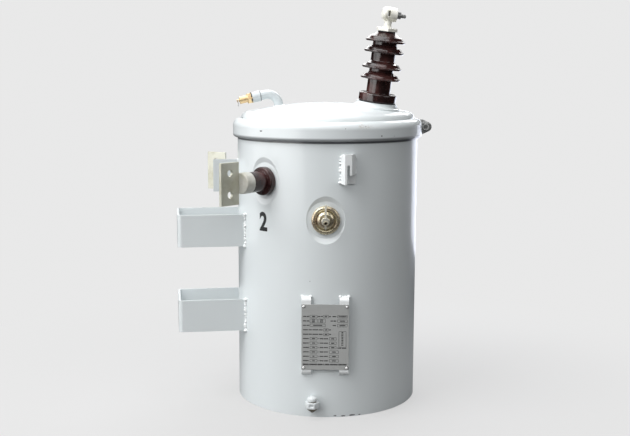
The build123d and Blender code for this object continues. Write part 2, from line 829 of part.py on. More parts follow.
with BuildPart() as tap_bell:
    with BuildSketch(side_plane(tap_plane)):
        spindle_bore = tap_spindle_radius + running_gap
        with BuildLine():
            skirt = Polyline(
                (spindle_bore, tap_bell_height),
                (spindle_bore, 0),
                (tap_bell_radius, 0),
                (tap_bell_radius, tap_bell_height / 3),
            )
            crown = ThreePointArc(
                skirt @ 1,
                (
                    (tap_bell_radius + tap_hub_radius) / 2 + (tap_bell_radius - tap_hub_radius) / 5,
                    tap_bell_height * 5 / 6,
                ),
                (tap_hub_radius, tap_bell_height),
            )
            Line(crown @ 1, skirt @ 0)
        make_face()
    revolve(axis=axis_of(tap_plane))
tap_bell.part.label = "tap_bell"
export_step(tap_bell.part, "parts/tap_bell.step")

hub_start = tap_bell_height + tap_hub_gap
hub_end = hub_start + tap_hub_length
with BuildPart() as tap_handle:
    with BuildSketch(tap_plane.offset(hub_start)):
        Circle(tap_hub_radius)
    extrude(amount=tap_hub_length)
    fillet(tap_handle.faces().sort_by(axis_of(tap_plane))[-1].edges(), tap_hub_round)
    with BuildSketch(tap_plane.offset(hub_start)):
        Circle(tap_spindle_radius)
    extrude(amount=-hub_start - wall_thickness - tap_spindle_length)
    # Lever above the hub and pointer below it, both in the upright plane through the spindle
    lever_plane = Plane(origin=tap_plane.origin, x_dir=tap_plane.z_dir, z_dir=-tap_plane.x_dir)
    with BuildSketch(lever_plane):
        with BuildLine():
            Polyline(
                (hub_start, 0),
                (tap_lever_lift, tap_hub_radius),
                (tap_lever_lift, tap_lever_top),
                (tap_lever_lift + tap_lever_depth, tap_lever_top),
                (hub_end - tap_hub_round, tap_hub_radius),
                (hub_end - tap_hub_round, 0),
                (hub_end - tap_hub_round, -tap_hub_radius),
                (hub_end - tap_lever_depth, -tap_tail),
                (hub_end - tap_lever_depth, -tap_hub_radius + tap_hub_round),
                (hub_start, 0),
            )
        make_face()
    extrude(amount=tap_lever_thickness / 2, both=True)
    with BuildSketch(tap_plane.offset(hub_end)):
        with Locations((0, -tap_pin_hole_drop)):
            Circle(tap_pin_hole_radius)
    extrude(amount=-tap_hub_length / 2, mode=Mode.SUBTRACT)
tap_handle.part.label = "tap_handle"
export_step(tap_handle.part, "parts/tap_handle.step")

# ---------------------------------------------------------------------------------------------
# Rating plate and its clips
# ---------------------------------------------------------------------------------------------

plate_plane = wall_plane(plate_azimuth, plate_distance, plate_bottom)
with BuildPart() as rating_plate:
    with BuildSketch(plate_plane):
        Rectangle(plate_width, plate_height, align=(Align.CENTER, Align.MIN))
    extrude(amount=plate_thickness)
rating_plate.part.label = "rating_plate"
export_step(rating_plate.part, "parts/rating_plate.step")

clip_offset = (plate_width - clip_width) / 2
for level, edge_height, way, show in (
    ("top", plate_top, 1, clip_show_top),
    ("bottom", plate_bottom, -1, clip_show_bottom),
):
    for side, shift in (("left", -clip_offset), ("right", clip_offset)):
        clip_plane = Plane(
            origin=outward(plate_azimuth + 90) * shift,
            x_dir=outward(plate_azimuth),
            z_dir=-outward(plate_azimuth + 90),
        )
        hidden = edge_height - way * clip_overlap
        bend = edge_height + way * (show - clip_bend)
        outer = edge_height + way * show
        middle = sin(radians(45))
        with BuildPart() as plate_clip:
            with BuildSketch(clip_plane):
                with BuildLine():
                    leg = Line((plate_distance, hidden), (plate_distance, bend))
                    outside = ThreePointArc(
                        leg @ 1,
                        (
                            plate_distance - clip_bend * (1 - middle),
                            bend + way * clip_bend * middle,
                        ),
                        (plate_distance - clip_bend, outer),
                    )
                    foot = Polyline(
                        outside @ 1,
                        (inner_radius - clip_bend, outer),
                        (inner_radius - clip_bend, outer - way * clip_sheet),
                        (plate_distance - clip_bend, outer - way * clip_sheet),
                    )
                    inside = ThreePointArc(
                        foot @ 1,
                        (
                            plate_distance - clip_bend + (clip_bend - clip_sheet) * middle,
                            bend + way * (clip_bend - clip_sheet) * middle,
                        ),
                        (plate_distance - clip_sheet, bend),
                    )
                    Polyline(inside @ 1, (plate_distance - clip_sheet, hidden), leg @ 0)
                make_face()
            extrude(amount=clip_width / 2, both=True)
            with BuildSketch(Plane.XY):
                Circle(tank_radius + weld_gap)
            extrude(amount=wall_height, mode=Mode.SUBTRACT)
        plate_clip.part.label = f"plate_clip_{level}_{side}"
        export_step(plate_clip.part, f"parts/plate_clip_{level}_{side}.step")

# ---------------------------------------------------------------------------------------------
# Lifting lugs
# ---------------------------------------------------------------------------------------------

for side, azimuth in (("front", lug_azimuth), ("rear", lug_azimuth + 180)):
    # Plan view: X runs round the tank and Y towards its axis
    lug_plan = Plane(
        origin=Vector(0, 0, lug_bottom), x_dir=outward(azimuth + 90), z_dir=(0, 0, 1)
    )
    lug_front = wall_plane(azimuth, tank_radius + lug_standoff, lug_bottom)
    face = tank_radius + lug_standoff
    # The legs stand straight as deep as the pad plate, whose sides lie inside them
    pad_face = tank_radius + lug_pad_sheet
    pad_left = lug_sheet / 2 - lug_left_splay
    pad_right = lug_splay - lug_sheet
    with BuildPart() as lug:
        with BuildSketch(lug_plan):
            with BuildLine():
                Polyline(
                    (-lug_left_splay, -inner_radius + lug_sheet),
                    (-lug_left_splay, -pad_face),
                    (-lug_left, -face),
                    (lug_right, -face),
                    (lug_splay, -pad_face),
                    (lug_splay, -inner_radius + lug_sheet),
                    close=True,
                )
            make_face()
            offset(amount=-lug_sheet, mode=Mode.SUBTRACT)
        extrude(amount=lug_height)
        with BuildSketch(lug_plan):
            with BuildLine():
                Polyline(
                    (pad_left, -inner_radius + wall_thickness),
                    (pad_left, -pad_face),
                    (pad_right, -pad_face),
                    (pad_right, -inner_radius + wall_thickness),
                    close=True,
                )
            make_face()
        extrude(amount=lug_height)
        with BuildSketch(Plane.XY):
            Circle(tank_radius + weld_gap)
        extrude(amount=wall_height, mode=Mode.SUBTRACT)
        # Rounded upper corners
        with BuildSketch(lug_front):
            with Locations(((lug_splay - lug_left_splay) / 2, 0)):
                outline = Rectangle(
                    lug_left_splay + lug_splay + 2 * lug_corner_clear,
                    lug_height,
                    align=(Align.CENTER, Align.MIN),
                )
            fillet(outline.vertices().group_by(Axis.Y)[-1], lug_corner)
        extrude(amount=-lug_standoff - wall_thickness, mode=Mode.INTERSECT)
        # Slot that is open below, with a round top
        with BuildSketch(lug_front):
            with Locations((0, lug_slot_height - lug_slot_width / 2)):
                Circle(lug_slot_width / 2)
            Rectangle(
                lug_slot_width,
                lug_slot_height - lug_slot_width / 2,
                align=(Align.CENTER, Align.MIN),
            )
        extrude(amount=-2 * lug_sheet, mode=Mode.SUBTRACT)
        # The right leg ends higher
        with BuildSketch(lug_front):
            Rectangle(2 * lug_splay, lug_short_leg, align=(Align.MIN, Align.MIN))
        extrude(amount=-lug_standoff + lug_pad_sheet, mode=Mode.SUBTRACT)
    lug.part.label = f"lifting_lug_{side}"
    export_step(lug.part, f"parts/lifting_lug_{side}.step")

# ---------------------------------------------------------------------------------------------
# Pole brackets and the side plate above them
# ---------------------------------------------------------------------------------------------

for level, bottom in (("lower", lower_bracket_bottom), ("upper", upper_bracket_bottom)):
    # Plan view: X runs outward, to the pole
    bracket_plan = Plane(
        origin=Vector(0, 0, bottom), x_dir=outward(bracket_azimuth), z_dir=(0, 0, 1)
    )
    with BuildPart() as bracket:
        with BuildSketch(bracket_plan):
            outer = Rectangle(bracket_reach, bracket_width, align=(Align.MIN, Align.CENTER))
            fillet(outer.vertices().group_by(Axis.X)[-1], bracket_corner)
            offset(amount=-bracket_bar_thickness, mode=Mode.SUBTRACT)
            Circle(tank_radius + weld_gap, mode=Mode.SUBTRACT)
        extrude(amount=bracket_bar_height)
    bracket.part.label = f"{level}_pole_bracket"
    export_step(bracket.part, f"parts/{level}_pole_bracket.step")

side_view = Plane(
    origin=Vector(0, 0, 0), x_dir=outward(bracket_azimuth), z_dir=-outward(bracket_azimuth + 90)
)
with BuildPart() as side_plate:
    with BuildSketch(side_view):
        with Locations((0, side_plate_bottom)):
            Rectangle(side_plate_reach, side_plate_height, align=(Align.MIN, Align.MIN))
    extrude(amount=side_plate_thickness / 2, both=True)
    with BuildSketch(Plane.XY):
        Circle(tank_radius + weld_gap)
    extrude(amount=wall_height, mode=Mode.SUBTRACT)
side_plate.part.label = "side_plate"
export_step(side_plate.part, "parts/side_plate.step")

# ---------------------------------------------------------------------------------------------
# Vent pipe and relief valve
# ---------------------------------------------------------------------------------------------

vent_foot = outward(vent_azimuth) * vent_offset
vent_surface = dome_height(vent_offset)
vent_way = outward(vent_direction) * cos(radians(vent_fall)) - Vector(0, 0, sin(radians(vent_fall)))
vent_corner = vent_foot + Vector(0, 0, vent_surface + vent_corner_rise)
outlet = Plane(
    origin=vent_corner + vent_way * vent_outlet,
    x_dir=outward(vent_direction + 90),
    z_dir=vent_way,
)

with BuildPart() as vent_pipe:
    with BuildLine() as vent_route:
        FilletPolyline(
            vent_foot + Vector(0, 0, vent_surface - vent_inside),
            vent_corner,
            outlet.origin,
            radius=vent_bend,
        )
    with BuildSketch(Plane(vent_foot + Vector(0, 0, vent_surface - vent_inside))):
        Circle(vent_pipe_radius)
        Circle(vent_bore_radius, mode=Mode.SUBTRACT)
    sweep()
vent_pipe.part.label = "vent_pipe"
export_step(vent_pipe.part, "parts/vent_pipe.step")

with BuildPart() as vent_sleeve:
    with BuildSketch(outlet):
        Circle(vent_sleeve_radius)
        Circle(vent_pipe_radius + seat_gap, mode=Mode.SUBTRACT)
    extrude(amount=-vent_sleeve_length)
vent_sleeve.part.label = "vent_sleeve"
export_step(vent_sleeve.part, "parts/vent_sleeve.step")

valve_end = valve_hex_length + valve_barrel_length
with BuildPart() as relief_valve:
    with BuildSketch(outlet):
        RegularPolygon(valve_hex / 2, 6, major_radius=False)
    extrude(amount=valve_hex_length)
    chamfer(relief_valve.faces().sort_by(axis_of(outlet))[-1].edges(), valve_hex_chamfer)
    with BuildSketch(outlet):
        Circle(valve_barrel_radius)
    extrude(amount=valve_end)
    with BuildSketch(outlet.offset(valve_end)):
        Circle(valve_stem_radius)
    extrude(amount=valve_stem_length)
    with BuildSketch(outlet):
        Circle(vent_bore_radius - seat_gap)
    extrude(amount=-valve_spigot_length)
    # Cross hole for the pull ring
    ring_hole = Plane(
        origin=outlet.offset(valve_end + valve_stem_length / 2).origin,
        x_dir=outlet.z_dir,
        z_dir=outlet.x_dir,
    )
    with BuildSketch(ring_hole):
        Circle(pull_ring_hole_radius)
    extrude(amount=2 * valve_stem_radius, both=True, mode=Mode.SUBTRACT)
relief_valve.part.label = "relief_valve"
export_step(relief_valve.part, "parts/relief_valve.step")

# The ring hangs from the stem's cross hole
ring_middle = ring_hole.origin - Vector(0, 0, pull_ring_radius)
with BuildPart() as pull_ring:
    with Locations(Plane(origin=ring_middle, z_dir=outward(vent_direction))):
        Torus(pull_ring_radius, pull_ring_wire)
pull_ring.part.label = "pull_ring"
export_step(pull_ring.part, "parts/pull_ring.step")

# ---------------------------------------------------------------------------------------------
# Earthing boss
# ---------------------------------------------------------------------------------------------

earth_distance = tank_radius + earth_stand
earth_axis = Plane(outward(earth_azimuth) * earth_distance + Vector(0, 0, earth_height))

with BuildPart() as earth_stub:
    with BuildSketch(wall_plane(earth_azimuth, earth_distance, earth_height)):
        Circle(earth_stub_radius)
    extrude(amount=-earth_stand - wall_thickness)
    with BuildSketch(Plane.XY):
        Circle(tank_radius + weld_gap)
    extrude(amount=wall_height, mode=Mode.SUBTRACT)
    with BuildSketch(earth_axis):
        RegularPolygon(earth_hex / 2, 6, major_radius=False)
    extrude(amount=earth_hex_height / 2, both=True)
    with BuildSketch(earth_axis.offset(earth_hex_height / 2)):
        Circle(earth_dome_radius)
    extrude(amount=earth_dome_height)
    fillet(earth_stub.faces().sort_by(axis_of(earth_axis))[-1].edges(), earth_dome_round)
earth_stub.part.label = "earth_connector"
export_step(earth_stub.part, "parts/earth_connector.step")

with BuildPart() as earth_tip:
    with Locations(earth_axis.offset(-earth_hex_height / 2)):
        Cone(
            earth_tip_end,
            earth_tip_radius,
            earth_tip_height,
            align=(Align.CENTER, Align.CENTER, Align.MAX),
        )
earth_tip.part.label = "earth_tip"
export_step(earth_tip.part, "parts/earth_tip.step")
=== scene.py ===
"""Looks of a pole-mounted distribution transformer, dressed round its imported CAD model.

The CAD nodes keep their shapes and take their finishes here. Weld beads, rivets, threads, the rating
plate's print, the terminal numerals and other small work are modelled on top of them.
Lengths are metres and angles are degrees. An azimuth is measured in plan from -Y towards +X.
"""

import json
import logging
import math
import random
from contextlib import contextmanager
from dataclasses import dataclass
from enum import Enum
from functools import cached_property
from typing import Callable, Iterator, Sequence

import bmesh
import bpy
from mathutils import Matrix, Vector


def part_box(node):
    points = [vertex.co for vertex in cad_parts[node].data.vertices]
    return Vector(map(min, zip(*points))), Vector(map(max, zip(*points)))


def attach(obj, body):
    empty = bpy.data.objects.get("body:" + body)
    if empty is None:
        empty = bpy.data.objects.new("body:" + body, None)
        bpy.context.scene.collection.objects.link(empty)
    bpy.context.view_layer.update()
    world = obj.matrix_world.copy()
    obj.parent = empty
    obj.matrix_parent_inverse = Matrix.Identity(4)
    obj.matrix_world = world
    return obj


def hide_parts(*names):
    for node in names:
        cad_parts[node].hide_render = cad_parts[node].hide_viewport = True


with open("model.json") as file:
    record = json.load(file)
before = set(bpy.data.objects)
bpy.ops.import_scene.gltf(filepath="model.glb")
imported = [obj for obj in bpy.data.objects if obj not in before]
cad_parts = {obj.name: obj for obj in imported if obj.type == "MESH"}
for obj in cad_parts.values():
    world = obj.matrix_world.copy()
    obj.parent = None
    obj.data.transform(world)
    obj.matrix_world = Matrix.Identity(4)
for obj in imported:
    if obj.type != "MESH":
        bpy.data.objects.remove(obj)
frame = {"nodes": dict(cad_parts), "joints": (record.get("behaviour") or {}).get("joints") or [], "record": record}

log = logging.getLogger("transformer")

MM = 0.001
UP = Vector((0.0, 0.0, 1.0))

# The CAD bodies.
TANK = "tank"
HANDLE = "tap_handle"

TANK_RADIUS = 0.200
# How far outside a piece the search for its surface starts, and how near corners are merged.
PROBE = 0.1
MERGE = 0.002 * MM

Piece = bpy.types.Object
Socket = bpy.types.NodeSocket
EditMesh = bmesh.types.BMesh
Colour = tuple[float, float, float]
Triple = tuple[float, float, float]


# ------------ Places


def outward(azimuth: float) -> Vector:
    """Gives the level direction that points away from the tank's axis at an azimuth."""
    turn = math.radians(azimuth)
    return Vector((math.sin(turn), -math.cos(turn), 0.0))


def azimuth_of(point: Vector) -> float:
    """Gives the azimuth of a point."""
    return math.degrees(math.atan2(point.x, -point.y))


def shift(x: float = 0.0, y: float = 0.0, z: float = 0.0) -> Matrix:
    """Gives the matrix of a plain move."""
    return Matrix.Translation((x, y, z))


def along(origin: Vector, way: Vector) -> Matrix:
    """Gives the matrix of a frame whose Z runs along a direction."""
    return Matrix.Translation(origin) @ way.to_track_quat("Z", "Y").to_matrix().to_4x4()


def wall_place(azimuth: float, distance: float, height: float) -> Matrix:
    """Gives the matrix of a frame on the tank's side: X runs round it, Y runs up and Z points outward.

    Args:
        azimuth: Where on the tank.
        distance: Distance of the frame from the tank's axis.
        height: Height over the floor.

    Returns:
        The frame's matrix.
    """
    out = outward(azimuth)
    axes = Matrix((outward(azimuth + 90), UP, out)).transposed()
    return Matrix.Translation(out * distance + UP * height) @ axes.to_4x4()


def middle(node: str) -> Vector:
    """Gives the centre of a CAD node's box."""
    low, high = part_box(node)
    return (low + high) / 2


def surface(node: str, start: Vector, way: Vector) -> Vector:
    """Gives the point where a line from outside first meets a CAD node, or its start if it never does."""
    hit, point, _, _ = frame["nodes"][node].ray_cast(start, way.normalized())
    return point if hit else start


# ------------ Modelling tools


def activate(*pieces: Piece) -> None:
    """Selects these pieces only, the last one active.

    Args:
        *pieces: The objects to select.
    """
    bpy.ops.object.select_all(action="DESELECT")
    for piece in pieces:
        piece.select_set(True)
        bpy.context.view_layer.objects.active = piece


def fresh(add: Callable[..., object], **settings: object) -> Piece:
    """Deselects everything and adds a primitive, a text, a light or a camera.

    Args:
        add: The operator that adds it.
        **settings: The operator's settings.

    Returns:
        The new object.
    """
    bpy.ops.object.select_all(action="DESELECT")
    add(**settings)
    return bpy.context.object


@contextmanager
def editing(piece: Piece, mode: str = "FACE") -> Iterator[EditMesh]:
    """Opens a piece in edit mode with all of it selected, and closes it again.

    Args:
        piece: The mesh object to edit.
        mode: VERT, EDGE or FACE.

    Yields:
        The piece's edit mesh.
    """
    activate(piece)
    bpy.ops.object.mode_set(mode="EDIT")
    bpy.ops.mesh.select_mode(type=mode)
    bpy.ops.mesh.select_all(action="SELECT")
    yield bmesh.from_edit_mesh(piece.data)
    bpy.ops.object.mode_set(mode="OBJECT")


def choose(mesh: EditMesh, test: Callable[[bmesh.types.BMFace], bool]) -> None:
    """Selects the faces of an edit mesh that pass a test, and no others.

    Args:
        mesh: The edit mesh.
        test: Says whether a face is chosen.
    """
    bpy.ops.mesh.select_all(action="DESELECT")
    for face in mesh.faces:
        if test(face):
            face.select_set(True)
    mesh.select_flush_mode()


def extrude(x: float, y: float, z: float) -> None:
    """Extrudes what is selected in edit mode by a step."""
    bpy.ops.mesh.extrude_region_move(TRANSFORM_OT_translate={"value": (x, y, z)})


def seat(piece: Piece, place: Matrix) -> None:
    """Carries a piece's mesh to its place and leaves its object at the origin.

    Args:
        piece: A mesh object modelled in local coordinates.
        place: Its frame.
    """
    activate(piece)
    piece.matrix_world = place @ piece.matrix_world
    bpy.ops.object.transform_apply(location=True, rotation=True, scale=True)


def duplicate(piece: Piece, place: Matrix) -> Piece:
    """Copies a piece with a mesh of its own and seats the copy.

    Args:
        piece: The piece to copy.
        place: Where the copy goes.

    Returns:
        The copy.
    """
    copy = piece.copy()
    copy.data = piece.data.copy()
    bpy.context.scene.collection.objects.link(copy)
    seat(copy, place)
    return copy


def join(pieces: Sequence[Piece], name: str) -> Piece:
    """Joins pieces into one.

    Args:
        pieces: Two or more mesh objects.
        name: The joined piece's name.

    Returns:
        The joined piece.
    """
    activate(*pieces)
    bpy.ops.object.join()
    joined = bpy.context.view_layer.objects.active
    joined.name = joined.data.name = name
    return joined


def apply_modifier(piece: Piece, kind: str, **settings: object) -> None:
    """Adds a modifier and applies it.

    Args:
        piece: The piece to change.
        kind: The modifier's type.
        **settings: Its properties.
    """
    activate(piece)
    modifier = piece.modifiers.new(kind.lower(), kind)
    for key, value in settings.items():
        setattr(modifier, key, value)
    bpy.ops.object.modifier_apply(modifier=modifier.name)


def bevel(piece: Piece, width: float, segments: int, angle: float) -> None:
    """Rounds a piece's edges that are sharper than an angle, with a few facets across the rounding."""
    limit = math.radians(angle)
    apply_modifier(piece, "BEVEL", width=width, segments=segments, limit_method="ANGLE", angle_limit=limit)


def smooth(piece: Piece, angle: float) -> None:
    """Shades a piece smooth, apart from edges sharper than an angle."""
    activate(piece)
    bpy.ops.object.shade_smooth_by_angle(angle=math.radians(angle))


def outward_normals(piece: Piece) -> None:
    """Merges a piece's doubles and turns its faces outward.

    Args:
        piece: The mesh object to mend.
    """
    with editing(piece):
        bpy.ops.mesh.remove_doubles(threshold=MERGE)
        bpy.ops.mesh.normals_make_consistent(inside=False)


def trace(points: Sequence[tuple[float, float]]) -> Piece:
    """Draws a line in the XZ plane by extruding one corner from point to point.

    Args:
        points: X and Z of each point of the line.

    Returns:
        The line, a mesh object without faces.
    """
    line = fresh(bpy.ops.mesh.primitive_plane_add, size=MM)
    with editing(line, "VERT"):
        bpy.ops.mesh.merge(type="CENTER")
        bpy.ops.transform.translate(value=(points[0][0], 0, points[0][1]))
        for (x, z), (next_x, next_z) in zip(points, points[1:]):
            extrude(next_x - x, 0, next_z - z)
    return line


def lathe(profile: Sequence[tuple[float, float]], steps: int = 32, soft: float = 0.0) -> Piece:
    """Turns an outline about Z.

    Args:
        profile: Radius and height of each point of the outline.
        steps: Facets round the axis.
        soft: Edges up to this angle are shaded smooth. With 0 the facets stay flat.

    Returns:
        The turned mesh object.
    """
    piece = trace(profile)
    with editing(piece, "VERT"):
        bpy.ops.mesh.spin(steps=steps, angle=math.tau, center=(0, 0, 0), axis=(0, 0, 1))
    outward_normals(piece)
    if soft:
        smooth(piece, soft)
    return piece


def thread(root: float, height: float, pitch: float, length: float) -> Piece:
    """Winds a helical thread round Z.

    Args:
        root: Radius that the thread stands on.
        height: How far its crest stands out.
        pitch: Rise of one turn.
        length: Length of the threaded part.

    Returns:
        The thread, from height 0 upwards.
    """
    sunk, flank = 0.1 * height, 0.42 * pitch
    coil = trace([(root - sunk, 0), (root + height, flank), (root - sunk, 2 * flank)])
    with editing(coil, "VERT"):
        bpy.ops.mesh.edge_face_add()
        bpy.ops.mesh.delete(type="ONLY_FACE")
    turns = max(1, round(length / pitch) - 1)
    apply_modifier(
        coil, "SCREW", axis="Z", angle=math.tau, screw_offset=pitch, iterations=turns, steps=20,
        render_steps=20, use_smooth_shade=False,
    )
    with editing(coil, "EDGE"):
        bpy.ops.mesh.fill_holes(sides=3)
    outward_normals(coil)
    return coil


def wrap(piece: Piece, azimuth: float, distance: float, height: float, strip: float) -> None:
    """Lays a flat piece round the tank: its X goes round, its Y up and its Z outward.

    Args:
        piece: A mesh object in local coordinates.
        azimuth: Where its X is 0.
        distance: Distance of its Z 0 from the tank's axis.
        height: Height of its Y 0.
        strip: Width of the strips that it is cut into, so that it follows the curve.
    """
    spread = [corner.co.x for corner in piece.data.vertices]
    with editing(piece):
        for number in range(math.ceil(min(spread) / strip), math.floor(max(spread) / strip) + 1):
            bpy.ops.mesh.select_all(action="SELECT")
            bpy.ops.mesh.bisect(plane_co=(number * strip, 0, 0), plane_no=(1, 0, 0))
    for corner in piece.data.vertices:
        across, up, out = corner.co
        turned = outward(azimuth + math.degrees(across / distance)) * (distance + out)
        corner.co = turned + UP * (height + up)


# ------------ Finishes


class Nodes:
    """Builds the node tree of one material or of the world."""

    def __init__(self, owner: bpy.types.Material | bpy.types.World) -> None:
        """Starts from the one shader that a new tree holds.

        Args:
            owner: The material or world that gets the tree.
        """
        owner.use_nodes = True
        self.owner = owner
        self.tree = owner.node_tree
        self.output = next(n for n in self.tree.nodes if n.type.startswith("OUTPUT")).inputs["Surface"]
        self.shader = self.output.links[0].from_node

    @cached_property
    def place(self) -> Socket:
        """Gives the object coordinates."""
        return self.add("ShaderNodeTexCoord").outputs["Object"]

    def feed(self, socket: Socket, value: object) -> None:
        """Links an output to an input, or sets the input's own value.

        Args:
            socket: The input.
            value: An output, a number, a vector or a colour without alpha.
        """
        if isinstance(value, Socket):
            self.tree.links.new(value, socket)
        elif socket.type == "RGBA":
            socket.default_value = (*value, 1.0)
        else:
            socket.default_value = value

    def add(self, kind: str, inputs: dict | None = None, **settings: object) -> bpy.types.Node:
        """Adds a node.

        Args:
            kind: The node's type.
            inputs: Values or outputs for its inputs, by name or number.
            **settings: Its properties.

        Returns:
            The node.
        """
        node = self.tree.nodes.new(kind)
        for key, value in settings.items():
            setattr(node, key, value)
        for key, value in (inputs or {}).items():
            self.feed(node.inputs[key], value)
        return node

    def finish(self, **values: object) -> None:
        """Feeds the shader's inputs. Underscores in a name stand for spaces."""
        for key, value in values.items():
            self.feed(self.shader.inputs[key.replace("_", " ")], value)

    def show(self, shader: bpy.types.Node) -> None:
        """Shows another shader in place of the one that the tree began with."""
        self.tree.nodes.remove(self.shader)
        self.feed(self.output, shader.outputs[0])

    def stretched(self, scale: Triple) -> Socket:
        """Gives object coordinates stretched along the axes."""
        return self.add("ShaderNodeMapping", {"Vector": self.place, "Scale": scale}).outputs["Vector"]

    def noise(self, scale: float, detail: float = 4.0, roughness: float = 0.55,
              place: Socket | None = None) -> Socket:
        """Gives a noise between 0 and 1. Its scale is waves in a metre, and its detail octaves."""
        inputs = {"Vector": place or self.place, "Scale": scale, "Detail": detail, "Roughness": roughness}
        return self.add("ShaderNodeTexNoise", inputs).outputs["Fac"]

    def calc(self, operation: str, *values: object) -> Socket:
        """Gives the result of a maths node on numbers or outputs."""
        return self.add("ShaderNodeMath", dict(enumerate(values)), operation=operation).outputs[0]

    def length(self, vector: Socket) -> Socket:
        """Gives the length of a vector."""
        return self.add("ShaderNodeVectorMath", {0: vector}, operation="LENGTH").outputs["Value"]

    def span(self, value: Socket, low: float, high: float, to_low: float = 0.0,
             to_high: float = 1.0) -> Socket:
        """Maps a range of a value smoothly to another range, held at its ends."""
        inputs = {0: value, 1: low, 2: high, 3: to_low, 4: to_high}
        return self.add("ShaderNodeMapRange", inputs, interpolation_type="SMOOTHSTEP").outputs[0]

    def mix(self, share: object, first: object, second: object) -> Socket:
        """Mixes two colours by a share."""
        return self.add("ShaderNodeMix", {0: share, 6: first, 7: second}, data_type="RGBA").outputs[2]

    def blend(self, share: object, first: bpy.types.Node, second: bpy.types.Node) -> bpy.types.Node:
        """Blends two shaders by a share."""
        return self.add("ShaderNodeMixShader", {0: share, 1: first.outputs[0], 2: second.outputs[0]})

    def relief(self, height: Socket, depth: float, edge: float) -> None:
        """Gives the surface a fine relief, and softens its sharp edges.

        Args:
            height: Height, between 0 and 1.
            depth: The relief's full depth.
            edge: Radius that sharp edges are softened to.
        """
        rounded = self.add("ShaderNodeBevel", {"Radius": edge}, samples=4).outputs[0]
        inputs = {"Height": height, "Distance": depth, "Strength": 1.0, "Normal": rounded}
        self.finish(Normal=self.add("ShaderNodeBump", inputs).outputs["Normal"])


@dataclass(frozen=True)
class Spot:
    """A small oval place on the tank's side where the paint is chipped or dirty."""

    azimuth: float
    distance: float
    height: float
    half_width: float
    half_height: float
    depth: float = 12 * MM

    def reach(self, nodes: Nodes) -> Socket:
        """Gives 0 at the spot's centre and 1 at its edge.

        Args:
            nodes: The material that shows the spot.

        Returns:
            The distance from the centre, in shares of the spot's size.
        """
        inputs = {
            "Vector": nodes.place,
            "Location": outward(self.azimuth) * self.distance + UP * self.height,
            "Rotation": (0.0, 0.0, math.radians(self.azimuth)),
            "Scale": (self.half_width, self.depth, self.half_height),
        }
        return nodes.length(nodes.add("ShaderNodeMapping", inputs, vector_type="TEXTURE").outputs["Vector"])


@dataclass(frozen=True)
class PaintedShadeRing:
    """A level ring of painted shade on the tank, up to a radius and between two heights."""

    low: float
    high: float
    radius: float
    # Dark colour painted in to stand for shade.
    colour: Colour = (0.10, 0.105, 0.115)
    share: float = 0.9
    soft: float = 2.0 * MM
    rim: float = 1.0 * MM

    def cover(self, nodes: Nodes) -> Socket:
        """Gives how much of the paint the painted shade darkens.

        Args:
            nodes: The material that shows the painted shade.

        Returns:
            Between 0 for clean paint and the ring's full share.
        """
        x, y, z = nodes.add("ShaderNodeSeparateXYZ", {0: nodes.place}).outputs
        square = nodes.calc("ADD", nodes.calc("MULTIPLY", x, x), nodes.calc("MULTIPLY", y, y))
        far = nodes.calc("SQRT", square)
        inside = nodes.span(far, self.radius, self.radius + self.rim, 1.0, 0.0)
        under = nodes.span(z, self.high, self.high + self.soft, 1.0, 0.0)
        over = nodes.span(z, self.low, self.low + self.soft)
        ring = nodes.calc("MULTIPLY", nodes.calc("MULTIPLY", under, over), inside)
        return nodes.calc("MULTIPLY", ring, self.share)


@dataclass(frozen=True)
class Finish:
    """What all finishes have: a name, and nodes that make a material of it."""

    name: str

    def lay_on(self, nodes: Nodes) -> None:
        """Sets the surface's colour, gloss and relief in a material's nodes."""
        raise NotImplementedError

    def material(self) -> bpy.types.Material:
        """Builds the finish.

        Returns:
            Its material.
        """
        nodes = Nodes(bpy.data.materials.new(self.name))
        self.lay_on(nodes)
        return nodes.owner


